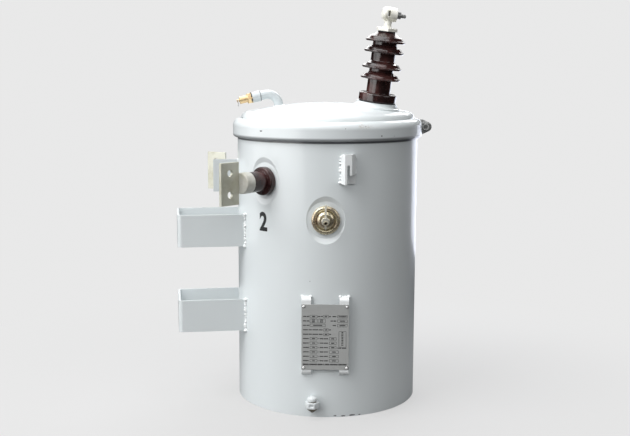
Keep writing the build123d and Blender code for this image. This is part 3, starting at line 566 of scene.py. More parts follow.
@dataclass(frozen=True)
class Enamel(Finish):
    """Gloss enamel on steel, with orange peel, faint streaks, chips, dirty smudges and rings of painted shade."""

    name: str = "enamel"
    colour: Colour = (0.752, 0.797, 0.810)
    dulled: Colour = (0.720, 0.760, 0.773)
    bare: Colour = (0.075, 0.075, 0.08)
    grime: Colour = (0.34, 0.27, 0.20)
    roughness: float = 0.34
    varied: float = 0.02
    coat: float = 0.35
    coat_roughness: float = 0.10
    peel_grain: float = 330.0
    peel_depth: float = 0.05 * MM
    fray_grain: float = 420.0
    speck_grain: float = 520.0
    smudge_grain: float = 85.0
    dulled_share: float = 0.5
    smudge_share: float = 0.75
    chip_share: float = 0.88
    edge: float = 0.7 * MM
    spots: tuple[Spot, ...] = ()
    smudges: tuple[Spot, ...] = ()
    painted_shade_rings: tuple[PaintedShadeRing, ...] = ()

    def lay_on(self, nodes: Nodes) -> None:
        """Sets the surface's colour, gloss and relief.

        Args:
            nodes: The material's nodes.
        """
        streak = nodes.noise(5.0, 2.0, 0.4, nodes.stretched((1.0, 1.0, 0.3)))
        dull = nodes.calc("MULTIPLY", nodes.span(streak, 0.30, 0.80), self.dulled_share)
        colour = nodes.mix(dull, self.colour, self.dulled)
        # Painted shade: rings of dark colour where shade falls at the clamp band's foot.
        for shade_ring in self.painted_shade_rings:
            colour = nodes.mix(shade_ring.cover(nodes), colour, shade_ring.colour)
        speck = nodes.span(nodes.noise(self.speck_grain, 3.0, 0.7), 0.48, 0.62)
        for smudge in self.smudges:
            soil = nodes.noise(self.smudge_grain, 3.0)
            ragged = nodes.calc("MULTIPLY_ADD", soil, 0.9, smudge.reach(nodes))
            soiled = nodes.calc("MULTIPLY", nodes.span(ragged, 1.45, 0.75), speck)
            colour = nodes.mix(nodes.calc("MULTIPLY", soiled, self.smudge_share), colour, self.grime)
        fray = nodes.noise(self.fray_grain, 2.0)
        for spot in self.spots:
            ragged = nodes.calc("MULTIPLY_ADD", fray, 1.2, spot.reach(nodes))
            chip = nodes.calc("MULTIPLY", nodes.span(ragged, 1.60, 1.35), self.chip_share)
            colour = nodes.mix(chip, colour, self.bare)
        dullest, glossiest = self.roughness + self.varied, self.roughness - self.varied
        nodes.finish(
            Base_Color=colour,
            Roughness=nodes.span(streak, 0.3, 0.7, glossiest, dullest),
            Coat_Weight=self.coat,
            Coat_Roughness=self.coat_roughness,
        )
        nodes.relief(nodes.noise(self.peel_grain, 2.0), self.peel_depth, self.edge)


@dataclass(frozen=True)
class Glaze(Finish):
    """Chocolate porcelain glaze that pools dark, thins to red-brown and ripples a little."""

    name: str = "dark_glaze"
    deep: Colour = (0.017, 0.0082, 0.0080)
    thin: Colour = (0.074, 0.0265, 0.0240)
    roughness: float = 0.18
    ior: float = 1.60
    varied: float = 0.06
    ripple_depth: float = 1.2 * MM
    edge: float = 2.0 * MM

    def lay_on(self, nodes: Nodes) -> None:
        """Sets the surface's colour, gloss and relief.

        Args:
            nodes: The material's nodes.
        """
        pooled = nodes.noise(26.0)
        streak = nodes.noise(30.0, 3.0, 0.6, nodes.stretched((1.0, 1.0, 0.25)))
        tone = nodes.calc("MULTIPLY_ADD", streak, 0.45, nodes.calc("MULTIPLY", pooled, 0.55))
        dullest, glossiest = self.roughness + self.varied, self.roughness - self.varied
        nodes.finish(
            Base_Color=nodes.mix(nodes.span(tone, 0.40, 0.64), self.deep, self.thin),
            Roughness=nodes.span(nodes.noise(90.0, 3.0), 0.3, 0.8, glossiest, dullest),
            IOR=self.ior,
        )
        ripple = nodes.calc("MULTIPLY_ADD", nodes.noise(120.0, 2.0), 0.22, nodes.noise(34.0, 2.0))
        nodes.relief(ripple, self.ripple_depth, self.edge)


@dataclass(frozen=True)
class Metal(Finish):
    """Plated or bare metal, with brushing or casting grain, tarnish and softened edges."""

    colour: Colour
    tarnish: Colour
    roughness: float
    metallic: float
    patches: float = 55.0
    grain: float = 300.0
    brushed: Triple = (1.0, 1.0, 1.0)
    depth: float = 0.05 * MM
    edge: float = 0.4 * MM

    def lay_on(self, nodes: Nodes) -> None:
        """Sets the surface's colour, gloss and relief.

        Args:
            nodes: The material's nodes.
        """
        fine = nodes.noise(self.grain, 4.0, 0.6, nodes.stretched(self.brushed))
        patch = nodes.noise(self.patches, 4.0, 0.6)
        nodes.finish(
            Base_Color=nodes.mix(nodes.span(patch, 0.42, 0.72), self.colour, self.tarnish),
            Metallic=self.metallic,
            Roughness=nodes.span(fine, 0.25, 0.75, self.roughness - 0.06, self.roughness + 0.10),
        )
        nodes.relief(fine, self.depth, self.edge)


@dataclass(frozen=True)
class Rubber(Finish):
    """Black gasket rubber with a dusty bloom."""

    name: str = "gasket_rubber"
    colour: Colour = (0.012, 0.012, 0.013)
    bloom: Colour = (0.045, 0.045, 0.047)
    roughness: float = 0.62
    depth: float = 0.08 * MM
    edge: float = 0.4 * MM

    def lay_on(self, nodes: Nodes) -> None:
        """Sets the surface's colour, gloss and relief.

        Args:
            nodes: The material's nodes.
        """
        dust = nodes.span(nodes.noise(90.0, 5.0), 0.4, 0.7)
        nodes.finish(Base_Color=nodes.mix(dust, self.colour, self.bloom), Roughness=self.roughness)
        nodes.relief(nodes.noise(700.0, 2.0), self.depth, self.edge)


@dataclass(frozen=True)
class Ink(Finish):
    """Black marking ink or stencil paint, a little uneven."""

    name: str = "marking_ink"
    colour: Colour = (0.007, 0.0075, 0.008)
    worn: Colour = (0.028, 0.030, 0.032)
    roughness: float = 0.45
    gloss: float = 0.5

    def lay_on(self, nodes: Nodes) -> None:
        """Sets the surface's colour and gloss.

        Args:
            nodes: The material's nodes.
        """
        rub = nodes.noise(260.0)
        nodes.finish(
            Base_Color=nodes.mix(nodes.span(rub, 0.45, 0.75), self.colour, self.worn),
            Roughness=nodes.span(rub, 0.3, 0.7, self.roughness, self.roughness + 0.15),
            Specular_IOR_Level=self.gloss,
        )


class Slot(Enum):
    """The record's material slots."""

    PAINT = "paint"
    PORCELAIN = "porcelain"
    RUBBER = "rubber"
    TINNED = "tinned"
    ZINC = "zinc"
    YELLOW_ZINC = "yellow_zinc"
    BRASS = "brass"
    PLATE = "plate"
    BRONZE = "bronze"


class Trim(Enum):
    """Finishes that some pieces take instead of their slot's usual one. Several are lighter or darker copies of
    another finish: painted highlight or painted shade.
    """

    INK = Ink()
    PRINT = Ink("plate_print", (0.018, 0.018, 0.019), (0.05, 0.05, 0.05), 0.5)
    BORE = Ink("bore_shadow", (0.0015, 0.0015, 0.0015), (0.003, 0.003, 0.003), 0.8, 0.0)
    # Lighter copy of the tank's enamel: painted highlight on lugs, plate clips and weld beads.
    FITTING_PAINT = Enamel("fitting_highlight_enamel", (0.90, 0.925, 0.93), (0.86, 0.89, 0.895), edge=0.5 * MM)
    # Darker copy of the tank's enamel: painted shade on the vent pipe and its sleeve.
    PIPE_PAINT = Enamel("pipe_enamel", (0.60, 0.645, 0.66), (0.56, 0.60, 0.615))
    # Darker copy of the tank's enamel: painted shade on the side plate.
    SIDE_PAINT = Enamel("side_enamel", (0.66, 0.70, 0.712), (0.63, 0.67, 0.68))
    # Darker copy of the enamel: painted shade on the earthing connector.
    EARTH_PAINT = Enamel("earth_enamel", (0.72, 0.755, 0.765), (0.60, 0.63, 0.64), edge=0.5 * MM)
    RED_GLAZE = Glaze("red_glaze", (0.024, 0.0098, 0.0098), (0.066, 0.0235, 0.0225), 0.17, 1.52)
    CAST_TIN = Metal("cast_tin", (0.62, 0.615, 0.575), (0.50, 0.49, 0.42), 0.45, 0.15, 36.0)
    # Lighter copy of the tinned finish: painted highlight on the high-voltage cap and clamp.
    LIGHT_TIN = Metal("highlight_tin", (0.88, 0.87, 0.81), (0.72, 0.71, 0.62), 0.42, 0.15, 40.0)
    BRIGHT_STEEL = Metal("bright_steel", (0.84, 0.85, 0.85), (0.62, 0.625, 0.62), 0.34, 0.1)
    GALVANISED = Metal("galvanised_steel", (0.62, 0.625, 0.62), (0.44, 0.445, 0.44), 0.40, 0.2)
    RIVET = Metal("rivet_aluminium", (0.95, 0.95, 0.94), (0.80, 0.80, 0.79), 0.30, 0.25)
    # Lighter copy of the yellow zinc: painted highlight on the tap changer's handle.
    BRIGHT_ZINC = Metal(
        "highlight_zinc", (0.90, 0.87, 0.75), (0.48, 0.43, 0.31), 0.22, 0.55, depth=0.01 * MM, edge=0.6 * MM
    )


# Finishes of CAD nodes that don't take their slot's. A name stands for the pieces of all sides.
NODE_TRIMS = {
    # The high-voltage cap, clamp body and washer take the lighter tin, a painted highlight.
    "hv_cap": Trim.LIGHT_TIN,
    "hv_clamp_body": Trim.LIGHT_TIN,
    "hv_clamp_washer": Trim.LIGHT_TIN,
    "lv_porcelain": Trim.RED_GLAZE,
    "lv_ferrule": Trim.CAST_TIN,
    # Lugs and plate clips take the lighter enamel, a painted highlight.
    "lifting_lug": Trim.FITTING_PAINT,
    "plate_clip": Trim.FITTING_PAINT,
    # The side plate takes the darker enamel, a painted shade.
    "side_plate": Trim.SIDE_PAINT,
    # The vent pipe and sleeve take the darker enamel, a painted shade.
    "vent_pipe": Trim.PIPE_PAINT,
    "vent_sleeve": Trim.PIPE_PAINT,
    "band_lug": Trim.GALVANISED,
    "pull_ring": Trim.GALVANISED,
    # The tap changer's handle takes the lighter zinc, a painted highlight.
    "tap_handle": Trim.BRIGHT_ZINC,
}
SIDES = ("front", "rear", "left", "right", "top", "bottom")


@dataclass
class Palette:
    """All finishes of the unit, with the places where the tank's paint is chipped or dirty, and the rings of
    painted shade at the clamp band's foot.
    """

    chips: tuple[Spot, ...] = (
        Spot(-50.1, 0.2100, 0.6026, 4.6 * MM, 1.7 * MM),
        Spot(23.3, 0.2100, 0.5944, 1.7 * MM, 1.7 * MM),
        Spot(1.1, 0.2100, 0.6105, 0.9 * MM, 0.9 * MM),
        Spot(12.8, 0.2100, 0.6150, 0.9 * MM, 0.8 * MM),
        Spot(32.4, 0.2100, 0.5930, 0.8 * MM, 0.8 * MM),
        Spot(-3.5, 0.2000, 0.0030, 3.4 * MM, 1.6 * MM),
        Spot(1.5, 0.2000, 0.0020, 6.0 * MM, 1.5 * MM),
        Spot(7.0, 0.2000, 0.0025, 7.5 * MM, 1.8 * MM),
        Spot(11.8, 0.2000, 0.0020, 3.0 * MM, 1.4 * MM),
        Spot(-19.0, 0.2000, 0.2930, 1.0 * MM, 0.9 * MM),
        Spot(-83.5, 0.1950, 0.6240, 9.0 * MM, 4.0 * MM, 4.0 * MM),
        Spot(69.0, 0.2025, 0.6218, 11.0 * MM, 5.0 * MM, 5.0 * MM),
    )
    smudges: tuple[Spot, ...] = (Spot(12.5, 0.2070, 0.6135, 22.0 * MM, 7.5 * MM, 20.0 * MM),)
    # Painted shade: a dark ring in the corner under the clamp band, and a softer one on the band's lower curl.
    under_band_shade_height: float = 5.0 * MM
    under_band_shade_radius: float = 0.2085
    curl_height: float = 4.5 * MM
    curl_radius: float = 0.2125
    curl_shade: Colour = (0.20, 0.21, 0.225)
    curl_share: float = 0.75
    overlap: float = 1.0 * MM

    def __post_init__(self) -> None:
        """Mixes every finish once."""
        finishes: dict[Slot | Trim, Finish] = {
            Slot.PAINT: Enamel(spots=self.chips, smudges=self.smudges, painted_shade_rings=self.painted_shade_rings()),
            Slot.PORCELAIN: Glaze(),
            Slot.RUBBER: Rubber(),
            Slot.TINNED: Metal(
                "tinned_copper", (0.66, 0.66, 0.57), (0.51, 0.50, 0.39), 0.40, 0.55, 24.0,
                brushed=(1.0, 1.0, 0.06),
            ),
            Slot.ZINC: Metal("zinc_steel", (0.33, 0.335, 0.33), (0.15, 0.155, 0.155), 0.34, 0.45),
            Slot.YELLOW_ZINC: Metal(
                "yellow_zinc", (0.67, 0.60, 0.43), (0.45, 0.34, 0.25), 0.25, 0.76, 38.0,
                grain=120.0, depth=0.008 * MM, edge=1.2 * MM,
            ),
            Slot.BRASS: Metal(
                "turned_brass", (0.80, 0.60, 0.34), (0.50, 0.32, 0.15), 0.34, 0.70, edge=0.6 * MM
            ),
            Slot.PLATE: Metal(
                "etched_aluminium", (0.545, 0.555, 0.545), (0.505, 0.515, 0.505), 0.45, 0.35, 12.0,
                brushed=(0.06, 0.06, 1.0),
            ),
            Slot.BRONZE: Metal("bare_bronze", (0.30, 0.27, 0.215), (0.14, 0.125, 0.10), 0.40, 0.6),
        }
        finishes.update((trim, trim.value) for trim in Trim)
        self.materials = {choice: finish.material() for choice, finish in finishes.items()}

    def painted_shade_rings(self) -> tuple[PaintedShadeRing, ...]:
        """Places the rings of painted shade at the clamp band's foot.

        Returns:
            The painted shade in the corner under the band, and the painted shade on the band's lower curl.
        """
        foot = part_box("clamp_band")[0].z
        corner = PaintedShadeRing(foot - self.under_band_shade_height, foot + self.overlap, self.under_band_shade_radius)
        curl = PaintedShadeRing(
            foot - self.overlap, foot + self.curl_height, self.curl_radius, self.curl_shade,
            self.curl_share, soft=self.curl_height,
        )
        return corner, curl

    def of(self, choice: Slot | Trim) -> bpy.types.Material:
        """Gives the material of a slot or a trim."""
        return self.materials[choice]

    def paint_nodes(self) -> None:
        """Gives every CAD node its own trim, or else the finish of its slot."""
        for part in frame["record"]["subparts"]:
            name, slot = part["node"], Slot(part["material_slot"])
            family = "_".join(word for word in name.split("_") if word not in SIDES)
            node = frame["nodes"][name]
            node.data.materials.clear()
            node.data.materials.append(self.of(NODE_TRIMS.get(family, slot)))
            log.info("%s takes %s", name, slot.value)


@dataclass
class SubAssembly:
    """What all sub-assemblies have: the palette, and the way that a finished piece is dressed."""

    palette: Palette

    def dress(self, piece: Piece, name: str, group: Slot, place: Matrix | None = None,
              trim: Trim | None = None, body: str = TANK) -> None:
        """Seats a finished piece, names it, gives it its finish and lets it ride on a body.

        Args:
            piece: The finished mesh object.
            name: Its name.
            group: The material slot whose usual finish it takes when no trim is given.
            place: Its frame, unless it is in place already.
            trim: Its finish, unless it is the slot's usual one.
            body: The CAD body that it moves with.
        """
        if place is not None:
            seat(piece, place)
        piece.name = piece.data.name = name
        piece.data.materials.clear()
        piece.data.materials.append(self.palette.of(trim or group))
        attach(piece, body)
        log.info("%s: %d faces, rides on %s", name, len(piece.data.polygons), body)


# ------------ Welds


@dataclass(frozen=True)
class Stitch:
    """How a weld's lumps look: their size, their spacing and how unlike each other they are."""

    lump: float
    pitch: float
    uneven: float = 0.3
    start: float = 1.3
    soften: int = 2
    flat: float = 0.82
    wide: float = 1.1
    shake: float = 0.28
    proud: float = 0.2


@dataclass
class WeldShop(SubAssembly):
    """Painted weld beads where brackets, lugs, clips, side plate and pipe meet the tank.

    A lug's leg is given by its place across the lug, and by how far its bead keeps from the lug's
    lower and upper end. The cover is looked for from overhead, a height well over the unit.
    """

    grain: float = 0.5 * MM
    plate_stitch: Stitch = Stitch(3.3 * MM, 4.0 * MM, 0.3, 1.5, 1, 0.66)
    thin_stitch: Stitch = Stitch(1.8 * MM, 2.6 * MM, 0.3, 1.4)
    clip_stitch: Stitch = Stitch(2.2 * MM, 2.8 * MM, 0.45, 1.6, 1)
    lug_stitch: Stitch = Stitch(4.6 * MM, 8.2 * MM, 0.3, 1.0, 1, 0.72)
    pipe_stitch: Stitch = Stitch(2.2 * MM, 2.0 * MM, 0.2, 1.1, 4)
    clip_half: float = 8.5 * MM
    lug_azimuth: float = 2.0
    left_leg: Triple = (-10.0 * MM, 2 * MM, 6 * MM)
    right_leg: Triple = (20.6 * MM, 22 * MM, 8 * MM)
    bracket_azimuth: float = -90.0
    bracket_fillet: float = 1.7 * MM
    pipe_radius: float = 10.0 * MM
    overhead: float = 1.0

    def bead(self, name: str, points: Sequence[Vector], stitch: Stitch, seed: int) -> None:
        """Lays overlapping lumps along a route, fuses them and paints them.

        Args:
            name: The bead's name.
            points: Centres of the lumps.
            stitch: How the lumps look.
            seed: Start of the bead's unevenness.
        """
        uneven = random.Random(seed)
        lump = fresh(bpy.ops.mesh.primitive_uv_sphere_add, segments=12, ring_count=8, radius=stitch.lump)
        with editing(lump, "VERT"):
            bpy.ops.transform.resize(value=(stitch.wide, stitch.wide, stitch.flat))
        lumps = []
        for index, point in enumerate(points):
            size = uneven.uniform(1 - stitch.uneven, 1 + 0.6 * stitch.uneven)
            if index in (0, len(points) - 1):
                size = stitch.start
            shake = [uneven.uniform(-stitch.shake, stitch.shake) * stitch.lump for _ in range(3)]
            lumps.append(duplicate(lump, Matrix.Translation(point + Vector(shake)) @ Matrix.Scale(size, 4)))
        bpy.data.objects.remove(lump)
        weld = join(lumps, name)
        apply_modifier(weld, "REMESH", mode="VOXEL", voxel_size=self.grain)
        apply_modifier(weld, "SMOOTH", factor=0.5, iterations=stitch.soften)
        smooth(weld, 180.0)
        # The beads take the lighter enamel, a painted highlight.
        self.dress(weld, name, Slot.PAINT, trim=Trim.FITTING_PAINT)

    def foot(self, about: float, across: float, height: float, proud: float = 0.0) -> Vector:
        """Gives the wall's point beside the radial line of an azimuth, moved out along that line."""
        depth = math.sqrt(TANK_RADIUS**2 - across**2) + proud
        return outward(about) * depth + outward(about + 90) * across + UP * height

    def upright(self, name: str, about: float, across: float, low: float, high: float, stitch: Stitch,
                seed: int) -> None:
        """Lays a vertical bead where a plate meets the round wall.

        Args:
            name: The bead's name.
            about: Azimuth of the plate's middle.
            across: Distance of the bead from the plate's middle.
            low: Height of its lower end.
            high: Height of its upper end.
            stitch: How its lumps look.
            seed: Start of its unevenness.
        """
        count = max(2, round((high - low) / stitch.pitch))
        heights = [low + (high - low) * i / count for i in range(count + 1)]
        proud = stitch.proud * stitch.lump
        self.bead(name, [self.foot(about, across, z, proud) for z in heights], stitch, seed)

    def brackets(self) -> None:
        """Lays the beads of the pole brackets and of the plate over them."""
        fillet = self.bracket_fillet
        for seed, level in enumerate(("lower", "upper"), start=10):
            low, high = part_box(f"{level}_pole_bracket")
            for side, across in (("front", high.y + fillet), ("rear", low.y - fillet)):
                name = f"weld_{level}_bracket_{side}"
                self.upright(name, self.bracket_azimuth, across, low.z, high.z, self.plate_stitch, seed)
        low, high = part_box("side_plate")
        for side, across in (("front", high.y), ("rear", low.y)):
            name = f"weld_side_plate_{side}"
            self.upright(name, self.bracket_azimuth, across, low.z, high.z, self.thin_stitch, 20)

    def clips(self) -> None:
        """Lays a short bead along the edge of each clip that holds the rating plate."""
        azimuth = azimuth_of(middle("rating_plate"))
        for level, stitch, start in (("top", self.clip_stitch, 44), ("bottom", self.thin_stitch, 51)):
            count = round(2 * self.clip_half / stitch.pitch)
            for seed, side in enumerate(("left", "right"), start=start):
                clip = f"plate_clip_{level}_{side}"
                low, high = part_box(clip)
                height = high.z if level == "top" else low.z
                aside = (middle(clip) - middle("rating_plate")).dot(outward(azimuth + 90))
                steps = [aside + (2 * i / count - 1) * self.clip_half for i in range(count + 1)]
                points = [self.foot(azimuth, across, height) for across in steps]
                self.bead(f"weld_clip_{level}_{side}", points, stitch, seed)

    def lugs(self) -> None:
        """Lays the beads of both lifting lugs: a heavy one at the left leg, a thin one at the right."""
        left = ("left", self.left_leg, self.lug_stitch, 31)
        right = ("right", self.right_leg, self.thin_stitch, 33)
        for side, about in (("front", self.lug_azimuth), ("rear", self.lug_azimuth + 180)):
            low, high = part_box(f"lifting_lug_{side}")
            for leg, (across, over, under), stitch, seed in (left, right):
                name = f"weld_lug_{side}_{leg}"
                self.upright(name, about, across, low.z + over, high.z - under, stitch, seed)

    def vent(self) -> None:
        """Lays the ring of weld round the vent pipe's foot."""
        low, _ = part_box("vent_pipe")
        corners = [v.co for v in frame["nodes"]["vent_pipe"].data.vertices if v.co.z < low.z + 1 * MM]
        foot = sum(corners, Vector()) / len(corners)
        foot.z = 0
        ring = self.pipe_radius + 0.6 * self.pipe_stitch.lump
        count = round(math.tau * ring / self.pipe_stitch.pitch)
        points = []
        for i in range(count):
            turn = math.tau * i / count
            above = foot + Vector((math.cos(turn), math.sin(turn), 0)) * ring + UP * self.overhead
            met = surface("tank_cover", above, -UP)
            if met != above:
                points.append(met)
        self.bead("weld_vent_foot", points, self.pipe_stitch, 71)

    def build(self) -> None:
        """Lays all beads."""
        self.brackets()
        self.clips()
        self.lugs()
        self.vent()


# ------------ Rating plate


@dataclass
class RatingPlate(SubAssembly):
    """Rivets and print of the rating plate. The print is plain dashes and empty-looking fields.

    Places across are measured from the plate's left edge. Rows are counted from the first one down,
    and a place between two rows is a fraction.
    """

    width: float = 99 * MM
    height: float = 140 * MM
    thickness: float = 1.0 * MM
    rivet_radius: float = 2.9 * MM
    rivet_rim: float = 0.35 * MM
    rivet_rise: float = 2.5 * MM
    rivet_dark_ring: float = 0.7 * MM
    rivet_inset: float = 4.3 * MM
    first_row: float = 25.5 * MM
    row_pitch: float = 9.5 * MM
    margin: float = 3.2 * MM
    field_left: float = 17.5 * MM
    field_width: float = 15.5 * MM
    field_height: float = 6.2 * MM
    field_corner: float = 1.1 * MM
    name_left: float = 34.0 * MM
    middle_left: float = 45.0 * MM
    middle_width: float = 11.5 * MM
    twin_left: float = 34.5 * MM
    twin_indent: float = 4.0 * MM
    long_left: float = 46.0 * MM
    long_width: float = 10.5 * MM
    unit_left: float = 57.6 * MM
    right_left: float = 75.0 * MM
    mark_left: float = 34.4 * MM
    second_label: float = 38.0 * MM
    second_field: float = 58.0 * MM
    diagram_left: float = 78.0 * MM
    diagram_middle: float = 5.1
    diagram_rows: float = 3.6
    diagram_mark: float = 83.4 * MM
    mark_row: float = 3.55
    mark_pitch: float = 0.36
    label_row: float = 7.1
    foot_row: float = 10.85
    foot_size: float = 1.5
    line: float = 0.55 * MM
    film: float = 0.12 * MM
    dash_height: float = 2.2 * MM
    dash_width: float = 1.05 * MM
    dash_corner: float = 0.25 * MM
    dash_pitch: float = 1.35 * MM

    def __post_init__(self) -> None:
        """Finds the plate's face and models the one dash that the print repeats."""
        centre = middle("rating_plate")
        reach = Vector((centre.x, centre.y, 0)).length + self.thickness / 2
        self.corner = shift(-self.width / 2, self.height / 2)
        self.place = wall_place(azimuth_of(centre), reach, centre.z)
        self.dash = self.model_dash()
        self.print = []

    def model_dash(self) -> Piece:
        """Models one dash of print, with softened corners.

        Returns:
            The dash, as wide as a figure.
        """
        dash = fresh(bpy.ops.mesh.primitive_plane_add, size=1.0)
        with editing(dash, "VERT"):
            bpy.ops.transform.resize(value=(self.dash_width, self.dash_height, 1.0))
            bpy.ops.mesh.bevel(offset=self.dash_corner, segments=1, affect="VERTICES")
            bpy.ops.mesh.select_all(action="SELECT")
            extrude(0, 0, self.film)
        outward_normals(dash)
        return dash

    def spot(self, left: float, row: float) -> Matrix:
        """Gives the frame of a spot on the plate."""
        return self.corner @ shift(left, -(self.first_row + row * self.row_pitch))

    def words(self, row: float, left: float, groups: Sequence[int], size: float = 1.0) -> None:
        """Prints a run of dashes in groups, as long as a line of words.

        Args:
            row: Its row.
            left: Where it starts.
            groups: How many dashes are in each group.
            size: Scale of the dashes' height.
        """
        start = left + self.dash_pitch / 2
        for count in groups:
            dashes = duplicate(self.dash, self.spot(start, row) @ Matrix.Diagonal((1, size, 1, 1)))
            apply_modifier(
                dashes, "ARRAY", count=count, use_relative_offset=False, use_constant_offset=True,
                constant_offset_displace=(self.dash_pitch, 0, 0),
            )
            self.print.append(dashes)
            start += (count + 0.8) * self.dash_pitch

    def box(self, row: float, left: float, width: float, height: float) -> None:
        """Prints a round-cornered outline.

        Args:
            row: Row of its middle.
            left: Place of its left side.
            width: Its width.
            height: Its height.
        """
        outline = fresh(bpy.ops.mesh.primitive_plane_add, size=1.0)
        with editing(outline, "VERT"):
            bpy.ops.transform.resize(value=(width, height, 1.0))
            bpy.ops.mesh.bevel(offset=self.field_corner, segments=3, affect="VERTICES")
        with editing(outline) as mesh:
            bpy.ops.mesh.inset(thickness=self.line, depth=0)
            choose(mesh, lambda face: len(face.verts) > 4)
            bpy.ops.mesh.delete(type="FACE")
            bpy.ops.mesh.select_all(action="SELECT")
            extrude(0, 0, self.film)
        outward_normals(outline)
        seat(outline, self.spot(left + width / 2, row))
        self.print.append(outline)

    def field(self, row: float, left: float, width: float, figures: int) -> None:
        """Prints an outline with a short run of dashes in its middle."""
        self.box(row, left, width, self.field_height)
        self.words(row, left + (width - figures * self.dash_pitch) / 2, (figures,))

    def head_rows(self) -> None:
        """Prints the first five rows."""
        wide = self.width - self.margin - self.right_left
        right = ((0, 64.5, (6,), 12), (1, 60.5, (4, 4), 8), (2, 65.0, (5,), 9))
        for row, label, groups, figures in right:
            self.words(row, self.margin, (5, 4))
            self.words(row, label * MM, groups)
            self.field(row, self.right_left, wide, figures)
        self.field(0, self.field_left, self.field_width, 5)
        self.words(0, self.name_left, (4, 3))
        self.field(0, self.middle_left, self.middle_width, 4)
        for left in (self.field_left, self.twin_left):
            self.box(1, left, self.field_width, 1.45 * self.field_height)
            for row in (0.8, 1.2):
                self.words(row, left + self.twin_indent, (5,))
        self.field(2, self.field_left, 2.1 * self.field_width, 14)
        for row in (3, 4):
            self.words(row, self.margin, (8, 5, 9, 6))
            self.field(row, self.long_left, self.long_width, 4)
        for row in (0, 3, 4):
            self.words(row, self.unit_left, (3,))

    def table_rows(self) -> None:
        """Prints the six rows of two columns."""
        columns = ((5, 15), (5, 15), (4, 15), (5, 20), (3, 20), (4, 20))
        for row, (figures, wide) in enumerate(columns, start=5):
            self.words(row, self.margin, (9,))
            self.field(row, self.field_left, self.field_width, figures)
            self.words(row, self.mark_left, (1,))
            self.words(row, self.second_label, (6, 6))
            self.field(row, self.second_field, wide * MM, wide // 3)

    def foot_and_diagram(self) -> None:
        """Prints the upright diagram, the label under it and the bold foot line."""
        tall = self.diagram_rows * self.row_pitch
        self.box(self.diagram_middle, self.diagram_left, self.field_width, tall)
        for step in range(9):
            self.words(self.mark_row + self.mark_pitch * step, self.diagram_mark, (3,))
        self.words(self.label_row, self.right_left, (6, 7))
        self.words(self.foot_row, self.margin, (9, 12, 8, 2, 7, 12, 13), self.foot_size)

    def rivet(self, name: str, across: float, up: float) -> None:
        """Sets one domed rivet on the dark ring round it.

        Args:
            name: Its corner of the plate.
            across: Its place from the plate's centre, to the right.
            up: Its place from the plate's centre, upwards.
        """
        radius, rim, sunk = self.rivet_radius, self.rivet_rim, 0.2 * MM
        profile = [(0, -sunk), (radius, -sunk), (radius, rim)]
        for turn in (15, 30, 45, 60, 75, 90):
            angle = math.radians(turn)
            profile.append((radius * math.cos(angle), rim + (self.rivet_rise - rim) * math.sin(angle)))
        place = self.place @ shift(across, up)
        self.dress(lathe(profile, 24, 50.0), f"plate_rivet_{name}", Slot.PLATE, place, Trim.RIVET)
        # A thin dark ring laid flat round the rivet's foot, in the print's ink.
        reach, film = radius + self.rivet_dark_ring, self.film
        ring = lathe([(0, -film), (reach, -film), (reach, film), (0, film)], 24)
        self.dress(ring, f"rivet_dark_ring_{name}", Slot.PLATE, place, Trim.PRINT)

    def build(self) -> None:
        """Prints the plate and sets its rivets."""
        self.head_rows()
        self.table_rows()
        self.foot_and_diagram()
        bpy.data.objects.remove(self.dash)
        sheet = join(self.print, "plate_print")
        self.dress(sheet, "plate_print", Slot.PLATE, self.place @ shift(z=0.03 * MM), Trim.PRINT)
        across, up = self.width / 2 - self.rivet_inset, self.height / 2 - self.rivet_inset
        for side, place in (("left", -across), ("right", across)):
            self.rivet(f"top_{side}", place, up)
            self.rivet(f"bottom_{side}", place, -up)


# ------------ Terminal numerals, threads and small rings


@dataclass
class TerminalNumeral(SubAssembly):
    """A bold black numeral on the wall under a low-voltage bushing."""

    name: str
    figure: str
    azimuth: float
    bottom: float = 392.5 * MM
    height: float = 41 * MM
    narrow: float = 0.86
    weight: float = 0.034
    film: float = 0.12 * MM
    strip: float = 4 * MM

    def build(self) -> None:
        """Cuts the numeral, makes it a mesh and lays it on the wall."""
        numeral = fresh(bpy.ops.object.text_add)
        numeral.data.body = self.figure
        numeral.data.offset = self.weight
        numeral.data.extrude = self.film / 2
        numeral.data.align_x = "CENTER"
        activate(numeral)
        bpy.ops.object.convert(target="MESH")
        numeral = bpy.context.object
        tops = [corner.co.y for corner in numeral.data.vertices]
        scale = self.height / (max(tops) - min(tops))
        seat(numeral, Matrix.Diagonal((self.narrow * scale, scale, 1, 1)))
        outward_normals(numeral)
        wrap(numeral, self.azimuth, TANK_RADIUS, self.bottom, self.strip)
        outward_normals(numeral)
        self.dress(numeral, self.name, Slot.PAINT, trim=Trim.INK)


@dataclass(frozen=True)
class Thread:
    """The thread on a shank's free end, outside its nut.

    The way is 1 where the shank's middle lies on that side of the nut, and -1 where it doesn't.
    """

    shank: str
    nut: str
    radius: float
    pitch: float
    bare: float
    way: int


